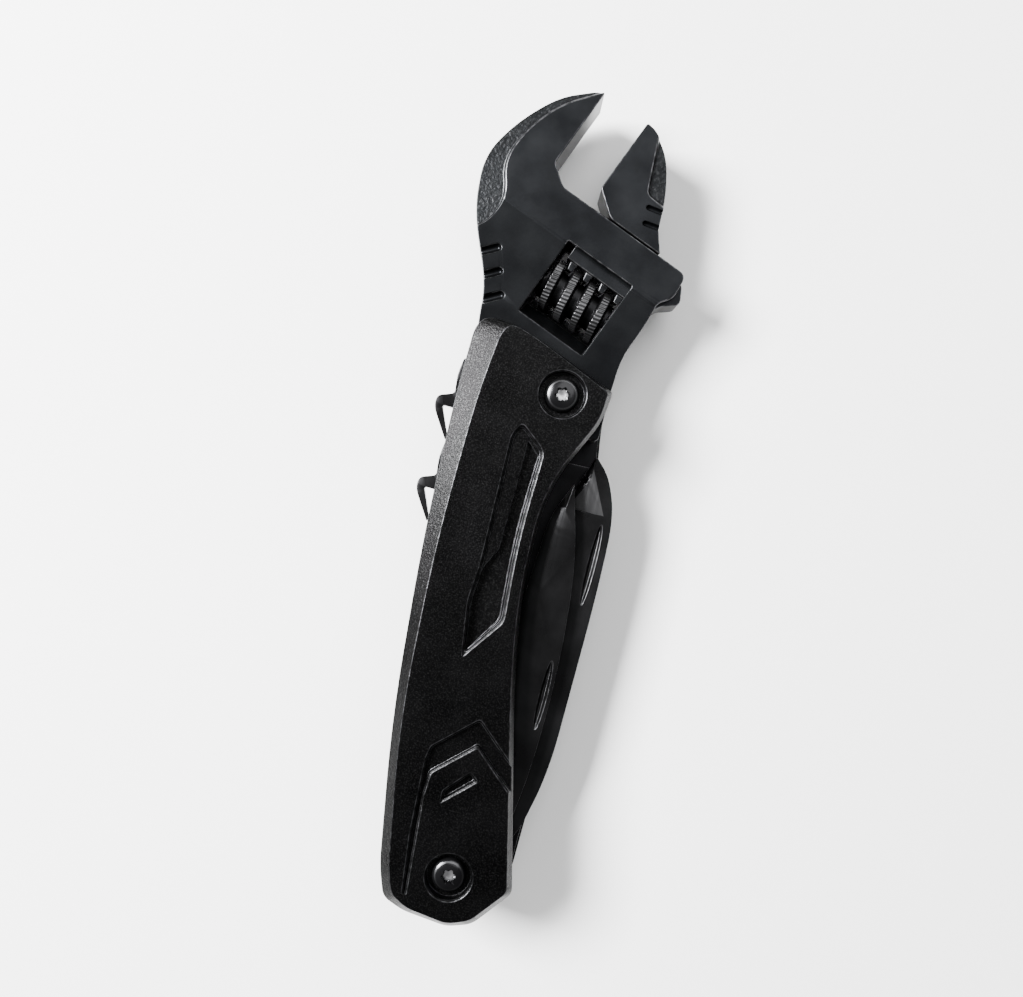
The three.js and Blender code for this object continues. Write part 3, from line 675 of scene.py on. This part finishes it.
def small_blade_corners():
    length = SMALL_BLADE
    return [
        (4.9, 0.4),
        (8.6, 7, 4),
        (SPINE - 4.9, 22, 8),
        (SPINE - 4.1, 42, 10),
        (SPINE - 5.4, length - 16, 8),
        (6.4, length, 0.4),
        (3.3, length - 7, 3, 2.3, -1),
        (1.8, length - 24, 6, 2.8, 0),
        (1.8, 24, 2, 2.8, 0),
        (2.2, 17, 2),
        (-1.2, 9, 3),
        (-4.6, 2.2),
    ]


def opener_corners(length):
    return [
        (-4.9, 0.4),
        (SHANK_LINE + 5.8, 10, 5),
        (SHANK_LINE + 1.8, 28, 10),
        (SHANK_LINE, 55, 10),
        (SHANK_LINE, length - 10.4, 0.6),
        (CLAW + 1.6, length - 10.2, 0.6),
        (CLAW + 4.1, length - 16.4),
        (CLAW + 3.6, length - 16.8),
        (CLAW, length - 10.9, 1.6),
        (CLAW + 0.1, length - 8.5, 1.1),
        (SHANK_LINE - 2.4, length - 7.4, 0.8),
        (SHANK_LINE - 2.8, length - 3.6, 2),
        (SHANK_LINE - 2.2, length, 0.6, 0, -2.4),
        (SHANK_LINE + 4.2, length, 0.6, 0, -2.4),
        (SHANK_LINE + 5.2, length - 8, 4),
        (SHANK_LINE + 5.1, 42, 8),
        (SHANK_LINE + 6.0, 25, 7),
        (1.0, 9, 3),
        (4.6, 2.2),
    ]


def make_folding_tool(name, node, corners, edge, looks, cutters=()):
    low, high = heights(node)
    middle = (low + high) / 2
    levels = [(low, 1), (middle - edge / 2, 0), (middle + edge / 2, 0), (high, 1)]
    piece = loft(name, corners, levels, 8)
    weld(piece, [bar(TANG_RADIUS, low, high, sides=96)])
    carve(piece, [bar(AXLE_RADIUS + HOLE_GAP, low - 1, high + 1), *cutters])
    soften(piece, TOOL_ROUND, looks, 2)
    return place_piece(piece, HANDLE_FRAME, node + "_body", "blade_steel", node)


def nail_nick(node, x, y0, y1):
    """A half-moon groove for a thumb nail, sunk into the front face."""
    high = heights(node)[1]
    middle, half = (y0 + y1) / 2, (y1 - y0) / 2
    rings = []
    for deep, width in ((0.55, 0.25), (0.0, 0.8), (-1.0, 1.6)):
        ring = []
        for k in range(32):
            angle = 2 * math.pi * k / 32
            reach = half * (0.85 if deep > 0.3 else 1)
            ring.append((x + width * math.cos(angle) + 0.02 * half * math.sin(angle),
                         middle + reach * math.sin(angle), high - deep))
        rings.append(ring)
    return rings_solid("cutter", rings)


def tip_facet(node):
    """A flat ground across the blade near its tip, sloping down from a line beside its back."""
    high = heights(node)[1]
    start, end = Vector(FACET_START), Vector(FACET_END)
    along = (end - start).normalized()
    corners = [start, end, Vector((8.0, 86.0)), Vector((3.0, 82.0)), Vector((3.0, 73.7))]
    floor = [(*p, high + 0.02 - FACET_SLOPE * abs((p - start).cross(along))) for p in corners]
    return rings_solid("cutter", [floor, [(*p, high + 2) for p in corners]])


# ---- Leaf springs ----
LEFT_SPRING = [
    (-LEFT + 1.0, 82, 1),
    (-LEFT + 1.0, 62, 8),
    (-LEFT + 3.1, 27, 8),
    (-LEFT + 7.2, 5.5, 3),
    (-11.2, 0.6, 0.8),
    (-4.0, 0.6),
    (-3.9, 4.3),
    (-9.6, 7.6, 3),
    (-LEFT + 7.0, 27, 8),
    (-LEFT + 5.2, 62, 8),
    (-LEFT + 5.2, 82, 1),
]
RIGHT_SPRING = [
    (RIGHT - 0.2, 76, 1),
    (RIGHT - 0.1, 40, 8),
    (RIGHT - 0.4, 10, 3),
    (10, 0.6, 0.8),
    (4.0, 0.6),
    (3.9, 4.3),
    (8.0, 7.6, 2),
    (RIGHT - 4.2, 27, 8),
    (RIGHT - 4.4, 76, 1),
]


def make_leaf_spring(node, corners, pins, looks):
    low, high = heights(node)
    piece = loft(node + "_leaf", corners, [(low, 0), (high, 0)], 8)
    cutters = [bar(TANG_RADIUS + 0.3, low - 1, high + 1, sides=96)]
    carve(piece, cutters + through_holes(pins, PIN, low, high))
    soften(piece, PLATE_ROUND, looks, 2)
    place_piece(piece, HANDLE_FRAME, "handle", "spring_steel", node)


# ---- Turned pieces: axles, washers and pins ----
AXLE_BORE = 1.65
WASHER_RADIUS = 4.8


def ring_piece(name, node, inner, outer, edge, look, slot):
    low, high = heights(node)
    place = centre_mm(node)
    profile = [(outer - edge, low), (outer, low + edge), (outer, high - edge), (outer - edge, high)]
    piece = lathe(name, profile, 72)
    if inner:
        carve(piece, [bar(inner, low - 1, high + 1)])
    piece.data.materials.append(look)
    shade(piece)
    place_piece(piece, Matrix.Translation((place.x, place.y, 0)), "handle", slot, node)


# ---- Wrench head, in the head frame ----
FIXED_FLAT = -18.6
JAW_OPENING = 10.1
DECK = 16.3
JAW_TIP = DECK + 19.69
WINDOW_LENGTH = 7.6
WINDOW_HEIGHT = 8.4
PAD_DEPTH = 0.8
NECK_FACE = HEAD_HALF - 0.15  # the neck's flat faces
CUT_GAP = 0.3
PITCH = 3.7
THREAD_PHASE = 0.9
WORM_OUTER = 5.2
WORM_ROOT = 3.4
WORM_LENGTH = 7.2
RACK_FOOT = WORM_RISE + WORM_OUTER + CUT_GAP
TOOTH_TIP = RACK_FOOT - 1.7
RACK_HALF = 3.5
RACK_TOP = 15.2
RACK_LEFT = -6.0
NECK_HALF = 1.9
CHANNEL_LEFT = RACK_LEFT - (JAW_OPENING - 0.2) - CUT_GAP
HEAD_ROUND = 0.22
JAW_ROUND = 0.18
CRADLE_GAP, CRADLE_LIP, CRADLE_STEPS = 0.5, 0.4, 16
GRIP_SLOTS = 3
WORM_PIN = 1.2
WORM_PIN_END = 13.9
SPRING_BORE, SPRING_BORE_DEPTH = 2.55, 3.9


def to_head(x, y, reach=0.0):
    """A handle-frame place as a corner in the head frame."""
    place = Vector((x + AXLE.x, y + AXLE.y, 0)) - Vector((HEAD.x, HEAD.y, 0))
    along = Vector((math.cos(HEAD_TILT), math.sin(HEAD_TILT), 0))
    return (place.dot(along), place.dot(HEAD_UP), reach)


def head_corners():
    return [
        (FIXED_FLAT, JAW_TIP, 0.6),
        (FIXED_FLAT - 1.7, JAW_TIP - 0.7, 1.2),
        (-25.6, 30.2, 4),
        (-29.4, 21.5, 5),
        (-30.86, 12.6, 4.5),
        (-26.2, 2.6, 6),
        (-16.2, -7.4, 6),
        (-12.8, -14.4, 1),
        to_head(-18.8, TOP + 8.6, 0.5),
        to_head(-12.2, TOP + 6.3, 1),
        to_head(-11.8, TOP - 6.9, 1),
        to_head(8.9, TOP - 6.9, 1),
        to_head(9.2, TOP + 3.8, 1),
        (14.1, -4, 4),
        (14.1, 3, 2),
        (13.6, 8.6, 0.8),
        (15.5, 11.2, 1.2),
        (14.9, DECK, 1.6),
        (FIXED_FLAT + 4.0, DECK, 0.8),
        (FIXED_FLAT, DECK + 2.9, 0.8),
    ]


def pad_cutter(corners, side):
    """A sunk pad whose wall leans out, on one face of the head or the jaw."""
    floor, face = HEAD_HALF - PAD_DEPTH, HEAD_HALF + 0.02
    wide = shrunk(corners, -0.35)
    rings = [[(p.x, p.y, side * z) for p in outline(ring, 0, 8)]
             for ring, z in ((corners, floor), (wide, face), (wide, face + 2))]
    return rings_solid("cutter", rings)


def notch_cutter(x0, y0, x1, y1, width, depth, side):
    """A grip slot with round ends and a round bottom."""
    along = Vector((x1 - x0, y1 - y0))
    turn = math.atan2(along.y, along.x)
    rings = []
    for k in range(7):
        angle = math.radians(15 * k)
        reach = width / 2 * math.sin(angle) + 0.02
        z = HEAD_HALF - depth * math.cos(angle)
        rings.append((reach, z))
    rings.append((width / 2 + 0.25, HEAD_HALF + 0.25))
    rings.append((width / 2 + 0.25, HEAD_HALF + 2))
    loops = []
    for reach, z in rings:
        loop = []
        for place, start in (((x1, y1), -90), ((x0, y0), 90)):
            for j in range(13):
                a = turn + math.radians(start + 15 * j)
                loop.append((place[0] + reach * math.cos(a), place[1] + reach * math.sin(a), side * z))
        loops.append(loop)
    return rings_solid("cutter", loops)


def neck_step(side):
    """The neck is a little thinner than the jaws, with a sloping step between them."""
    step = [(8.1, HEAD_HALF + 0.02), (7.5, NECK_FACE), (-FAR, NECK_FACE),
            (-FAR, HEAD_HALF + 3), (8.1, HEAD_HALF + 3)]
    return rings_solid("cutter", [[(x, v, side * z) for v, z in step] for x in (-FAR, FAR)])


def window_cutter():
    """The window is open at the front, and a cradle closes it in behind the worm's lower side."""
    cradle = WORM_OUTER + CRADLE_GAP
    last = math.asin((HEAD_HALF - CRADLE_LIP) / cradle)
    profile = [(WINDOW_HEIGHT, FAR), (-WINDOW_HEIGHT, FAR), (-WINDOW_HEIGHT, HEAD_HALF)]
    for i in range(CRADLE_STEPS + 1):
        angle = last * i / CRADLE_STEPS
        profile.append((WORM_RISE - cradle * math.cos(angle), -cradle * math.sin(angle)))
    profile += [(profile[-1][0], -FAR), (WINDOW_HEIGHT, -FAR)]
    return rings_solid("cutter", [[(x, y, z) for y, z in profile] for x in (-WINDOW_LENGTH, WINDOW_LENGTH)])


def pad_floor(inside):
    """Picks the floors of the sunk pads, where inside(x, y) holds."""
    def chosen(at, normal):
        deep = abs(abs(at.z) - (HEAD_HALF - PAD_DEPTH)) < 0.06
        return deep and abs(normal.z) > 0.9 and inside(at.x, at.y)
    return chosen


def make_head(looks, pad_look, neck_shade_look):
    piece = loft("wrench_head_forging", head_corners(), [(-HEAD_HALF, 0), (HEAD_HALF, 0)], 10)
    pad = [
        (-18.9, JAW_TIP + 0.2),
        (-24.2, 29.8, 4),
        (-27.0, 22.5, 4),
        (-27.4, 14, 4),
        (-22.6, 8, 4),
        (-22.8, 2.6, 2),
        (-25, -1.2),
        (-FAR, -1.2),
        (-FAR, JAW_TIP + 4),
        (-18.9, JAW_TIP + 4),
    ]
    channel, neck = RACK_HALF + CUT_GAP, NECK_HALF + CUT_GAP
    cutters = [neck_step(1), neck_step(-1)]
    cutters += [pad_cutter(pad, side) for side in (1, -1)]
    cutters += [
        window_cutter(),
        block(CHANNEL_LEFT, FAR, TOOTH_TIP - CUT_GAP, RACK_TOP + CUT_GAP, -channel, channel),
        block(CHANNEL_LEFT, FAR, RACK_TOP, DECK + 1, -neck, neck),
        cross_bar(WORM_PIN + HOLE_GAP, -12.5, FAR, WORM_RISE),
    ]
    for i in range(GRIP_SLOTS):
        x, y = -18.1 + 2.95 * i, -0.7 - 3.6 * i
        cutters += [notch_cutter(x - 5, y - 6, x, y, 1.5, 1.1, side) for side in (1, -1)]
    axle, pin = to_head(0, TOP), to_head(*TANG_PIN)
    cutters.append(bar(AXLE_RADIUS + HOLE_GAP, -FAR, FAR, axle[0], axle[1]))
    cutters.append(bar(PIN + HOLE_GAP, -FAR, FAR, pin[0], pin[1]))
    carve(piece, cutters)
    soften(piece, HEAD_ROUND, looks)
    paint(piece, pad_look, pad_floor(lambda x, y: x < -18 and y > -3))
    # painted shade: the neck's flat faces take the darker copy of the forged steel
    paint(piece, neck_shade_look, lambda at, normal: abs(abs(at.z) - NECK_FACE) < 0.05 and abs(normal.z) > 0.95)
    place_piece(piece, HEAD_FRAME, "handle", "forged_steel", "wrench_head")


def rack_tooth(middle, lean):
    """A tooth of the jaw's rack, leaning to follow the worm's thread."""
    return loft("cutter", [
        (middle - 0.88, RACK_FOOT + 0.4, 0, lean, 0),
        (middle - 0.5, TOOTH_TIP, 0.2, lean, 0),
        (middle + 0.5, TOOTH_TIP, 0.2, lean, 0),
        (middle + 0.88, RACK_FOOT + 0.4, 0, lean, 0),
    ], [(-2.8, -1), (2.8, 1)], 4)


def make_jaw(looks, pad_look):
    flat, foot = FIXED_FLAT + JAW_OPENING, DECK + CUT_GAP
    jaw = [
        (flat, JAW_TIP, 0.6),
        (flat, foot + 3.8, 0.6),
        (flat + 5.0, foot, 1),
        (flat + 16.9, foot, 0.5),
        (5.3, 20.3, 1.5),
        (3.0, 26.2, 4),
        (-1.4, 32.8, 4),
        (-6.1, JAW_TIP - 0.3, 1.5),
    ]
    rack = [
        (RACK_LEFT, RACK_FOOT),
        (12.9, RACK_FOOT, 0.6),
        (14.4, 8.8, 0.6),
        (17.36, 11.2, 1.2),
        (15.2, RACK_TOP - 0.2, 1.4),
        (RACK_LEFT, RACK_TOP),
    ]
    pad = [
        (-5.2, JAW_TIP),
        (-1.6, 28, 4),
        (-0.2, 25, 1),
        (5, 24.6),
        (9, 24.6),
        (9, JAW_TIP),
    ]
    piece = loft("movable_jaw_forging", jaw, [(-HEAD_HALF, 0), (HEAD_HALF, 0)], 10)
    slant = PITCH / (2 * math.pi * (WORM_OUTER - 0.85))
    parts = [prism(rack, -RACK_HALF, RACK_HALF),
             block(-1.6, 7.6, RACK_TOP - 0.5, foot + 0.5, -NECK_HALF, NECK_HALF)]
    for k in range(-2, 3):
        parts.append(rack_tooth(THREAD_PHASE + (k + 0.5) * PITCH, 2.8 * slant))
    weld(piece, parts)
    carve(piece, [pad_cutter(pad, side) for side in (1, -1)])
    round_edges(piece, JAW_ROUND, looks)
    notches = []
    for side in (1, -1):
        notches.append(notch_cutter(1.3, 22.7, 8, 24.3, 1.1, 0.9, side))
        notches.append(notch_cutter(2.5, 19.8, 9, 21.6, 1.1, 0.9, side))
    carve(piece, notches)
    clean(piece)
    shade(piece)
    paint(piece, pad_look, pad_floor(lambda x, y: y > 24))
    place_piece(piece, HEAD_FRAME, "jaw", "forged_steel", "movable_jaw")


# ---- Worm, its pin and its spring ----
KNURLS = 42


def worm_radius(x, angle):
    """The worm's radius: a screw thread with a knurled crest, rounded off at both ends."""
    turns = (x - THREAD_PHASE) / PITCH - angle / (2 * math.pi)
    offset = abs(turns - round(turns)) * PITCH
    flank = min(max((offset - 0.68) / 0.46, 0), 1)
    flank = flank * flank * (3 - 2 * flank)
    crest = min(max((0.95 - offset) / 0.3, 0), 1)
    ridge = 0.5 + 0.5 * math.cos(KNURLS * angle + 2.2 * x)
    end = min(max((WORM_LENGTH - abs(x)) / 0.5, 0), 1)
    radius = WORM_OUTER + (WORM_ROOT - WORM_OUTER) * flank - 0.14 * crest * (1 - ridge)
    return min(radius, WORM_OUTER - 0.5 + 0.5 * math.sqrt(end * (2 - end)))


def make_worm(look, bright):
    sides, count = 252, 132
    rings = []
    for i in range(count):
        x = WORM_LENGTH * (2 * i / (count - 1) - 1)
        ring = []
        for j in range(sides):
            angle = 2 * math.pi * j / sides
            radius = worm_radius(x, angle)
            ring.append((x, WORM_RISE + radius * math.cos(angle), radius * math.sin(angle)))
        rings.append(ring)
    piece = rings_solid("adjusting_worm_knurled", rings)
    carve(piece, [cross_bar(1.5, -FAR, FAR, WORM_RISE),
                  cross_bar(SPRING_BORE, -FAR, -WORM_LENGTH + SPRING_BORE_DEPTH, WORM_RISE)])
    for face in piece.data.polygons:
        face.use_smooth = True
    piece.data.set_sharp_from_angle(angle=math.radians(50))
    piece.data.materials.append(look)
    # The crests take the bright look: worn steel on the knurl tops, and a painted highlight across the rest
    # of each crest
    crest, end = WORM_OUTER - 0.4, WORM_LENGTH - 0.1
    paint(piece, bright, lambda at, _: math.hypot(at.y - WORM_RISE, at.z) > crest and abs(at.x) < end)
    place_piece(piece, HEAD_FRAME, "worm", "black_worm", "adjusting_worm")


def make_worm_pin(look):
    end = WORM_PIN_END
    turn = [2 * math.pi * i / 48 for i in range(48)]
    profile = [(1.0, -12.3), (WORM_PIN, -12.0), (WORM_PIN, end - 0.25), (0.95, end)]
    rings = [[(x, WORM_RISE + r * math.cos(a), r * math.sin(a)) for a in turn] for r, x in profile]
    piece = rings_solid("worm_pin_turned", rings)
    carve(piece, [block(end - 0.7, end + 1, -FAR, FAR, -0.25, 0.25)])
    clean(piece)
    piece.data.materials.append(look)
    shade(piece)
    place_piece(piece, HEAD_FRAME, "handle", "spring_steel", "worm_pin")


def make_worm_spring(look):
    turns, wire, coil, steps, sides = 5, 0.28, 1.95, 240, 14
    start, length = -WORM_LENGTH + 0.15 + 0.05, 3.2
    rings = []
    for i in range(steps + 1):
        t = i / steps
        angle = 2 * math.pi * turns * t
        out = Vector((0, math.cos(angle), math.sin(angle)))
        centre = Vector((start + length * t, WORM_RISE, 0)) + out * coil
        ring = []
        for j in range(sides):
            a = 2 * math.pi * j / sides
            ring.append(centre + out * wire * math.cos(a) + Vector((1, 0, 0)) * wire * math.sin(a))
        rings.append(ring)
    piece = rings_solid("worm_spring_coil", rings)
    piece.data.materials.append(look)
    shade(piece)
    place_piece(piece, HEAD_FRAME, "handle", "spring_steel", "worm_spring")


# ---- Everything ----
def make_object():
    anodised = metal("anodised_black", (0.0007, 0.0007, 0.0008), (0.0018, 0.0018, 0.002),
                     (0.26, 0.38), 0.00026, speckle=0.011, bump=0.45, metallic=0.8, coarse=0.14, specular=0.2)
    anodised_edge = metal("anodised_edge", (0.003, 0.003, 0.0034), (0.008, 0.008, 0.0085),
                          (0.28, 0.4), 0.0003, rubbed_and_sheen=(0.04, 0.04, 0.043), bump=0.3, metallic=0.85,
                          specular=0.3)
    forged = metal("forged_gunmetal", (0.0052, 0.0056, 0.0064), (0.0115, 0.0122, 0.0135), (0.32, 0.4), 0.0002,
                   bump=0.12, metallic=0.9, coarse=0.03, specular=0.25)
    # Painted shade: a darker copy of the forged steel for the neck's flat faces
    forged_neck_shaded = metal("forged_neck_shaded", (0.0038, 0.0041, 0.0047), (0.0075, 0.008, 0.0088), (0.32, 0.4), 0.0002,
                        bump=0.12, metallic=0.9, coarse=0.03, specular=0.25)
    forged_edge = metal("forged_edge", (0.01, 0.0105, 0.0115), (0.03, 0.031, 0.033), (0.28, 0.4), 0.0002,
                        rubbed_and_sheen=(0.09, 0.09, 0.095), bump=0.1, metallic=0.92, specular=0.3)
    cast = metal("cast_pad", (0.005, 0.0054, 0.006), (0.012, 0.0127, 0.0137), (0.34, 0.46), 0.0006,
                 speckle=0.008, bump=0.5, metallic=0.88, coarse=0.6, specular=0.25)
    blade = metal("blade_black", (0.011, 0.011, 0.0115), (0.019, 0.019, 0.02), (0.26, 0.36), 0.0002,
                  brush=0.1, bump=0.25, metallic=0.92, specular=0.3)
    blade_edge = metal("blade_edge", (0.012, 0.012, 0.013), (0.03, 0.03, 0.032), (0.26, 0.38), 0.0002,
                       rubbed_and_sheen=(0.06, 0.06, 0.063), brush=0.1, bump=0.1, metallic=0.92, specular=0.3)
    # Painted highlight: a lighter steel for the large blade's tip facet, brushed across the grind
    ground = metal("blade_ground", (0.05, 0.05, 0.052), (0.07, 0.07, 0.072), (0.3, 0.38), 0.0002,
                   brush=1.2, bump=0.5, metallic=0.95)
    sheet = metal("liner_sheet", (0.006, 0.006, 0.0065), (0.012, 0.012, 0.013), (0.35, 0.5), 0.0002,
                  brush=1.5, bump=0.15, metallic=0.95, specular=0.3)
    sprung = metal("spring_blued", (0.035, 0.035, 0.038), (0.055, 0.055, 0.058), (0.28, 0.38), 0.0002,
                   brush=0.0, bump=0.2, metallic=0.95)
    gloss = metal("screw_oxide", (0.008, 0.008, 0.009), (0.018, 0.018, 0.019), (0.15, 0.25), 0.0002,
                  bump=0.05, metallic=0.85, specular=0.3)
    # Painted glint: a bright steel look for the lower part of each screw's recess
    socket = metal("socket_painted_glint", (0.25, 0.25, 0.26), (0.4, 0.4, 0.41), (0.25, 0.35), 0.0002,
                   bump=0.1, metallic=0.95)
    oxide = metal("worm_oxide", (0.004, 0.004, 0.0045), (0.012, 0.012, 0.013), (0.3, 0.42), 0.00015,
                  bump=0.15, metallic=0.9, specular=0.3)
    # A bright steel look: on the worm's crests it is partly worn steel and partly a painted highlight; on
    # each screw's dome it is a painted reflection ring
    rubbed_and_sheen = metal("worm_worn_and_sheen", (0.025, 0.025, 0.026), (0.07, 0.07, 0.073), (0.22, 0.35), 0.00015,
                   bump=0.1, metallic=0.95)
    bronze = metal("bronze_shim", (0.16, 0.1, 0.04), (0.3, 0.19, 0.08), (0.3, 0.45), 0.0002,
                   bump=0.1, metallic=0.95)

    make_scales((anodised, anodised_edge))
    for place, y in (("bottom", 0), ("top", TOP)):
        make_screw(place + "_button_front", place + "_screw_front", y, True, gloss, rubbed_and_sheen, socket)
        make_screw(place + "_button_rear", place + "_screw_rear", y, False, gloss, rubbed_and_sheen, socket)
        ring_piece(place + "_barrel", place + "_axle", AXLE_BORE, AXLE_RADIUS, 0.15, sprung, "spring_steel")
    plates = (sheet, blade_edge)
    make_liner("front_liner", OPEN_SIDE, 0.5, [*LEFT_PINS, TANG_PIN], [(0, 0), (0, TOP)], plates)
    make_liner("rear_liner", PLAIN_SIDE, 0.5, [*RIGHT_PINS, TANG_PIN], [(0, 0), (0, TOP)], plates)
    make_liner("centre_liner", PLAIN_SIDE, 1.0, LEFT_PINS + RIGHT_PINS, [(0, 0)], plates,
               CENTRE_LINER_TOP)
    for node in ("front_washer", "blade_washer", "opener_washer", "rear_washer"):
        ring_piece(node + "_shim", node, AXLE_RADIUS + HOLE_GAP, WASHER_RADIUS, 0.03, bronze, "bronze_washer")
    for node in ("tang_pin", "left_spring_pin_lower", "left_spring_pin_upper",
                 "right_spring_pin_lower", "right_spring_pin_upper"):
        ring_piece(node + "_rivet", node, 0, PIN, 0.12, sprung, "spring_steel")
    make_leaf_spring("small_blade_spring", LEFT_SPRING, LEFT_PINS, (sprung,))
    make_leaf_spring("large_blade_spring", LEFT_SPRING, LEFT_PINS, (sprung,))
    make_leaf_spring("can_opener_spring", RIGHT_SPRING, RIGHT_PINS, (sprung,))
    make_leaf_spring("bottle_opener_spring", RIGHT_SPRING, RIGHT_PINS, (sprung,))
    steels = (blade, blade_edge)
    make_folding_tool("small_blade_ground", "small_blade", small_blade_corners(), BLADE_EDGE, steels,
                      [nail_nick("small_blade", SPINE - 5.9, 30, 44)])
    large = make_folding_tool("large_blade_ground", "large_blade", large_blade_corners(), BLADE_EDGE, steels,
                              [nail_nick("large_blade", SPINE - 2.4, 55.5, 72), tip_facet("large_blade")])
    # painted highlight: the tip facet's sloping faces take the lighter steel
    paint(large, ground, lambda at, normal: at.y > AXLE.y + 73.8 and 0.97 < normal.z < 0.997)
    make_folding_tool("can_opener_claw", "can_opener", opener_corners(CAN_OPENER), OPENER_EDGE, steels)
    make_folding_tool("bottle_opener_claw", "bottle_opener", opener_corners(BOTTLE_OPENER),
                      OPENER_EDGE, steels)
    make_head((forged, forged_edge), cast, forged_neck_shaded)
    make_jaw((forged, forged_edge), cast)
    make_worm(oxide, rubbed_and_sheen)
    make_worm_pin(sprung)
    make_worm_spring(sprung)


make_camera()
make_studio()
make_object()
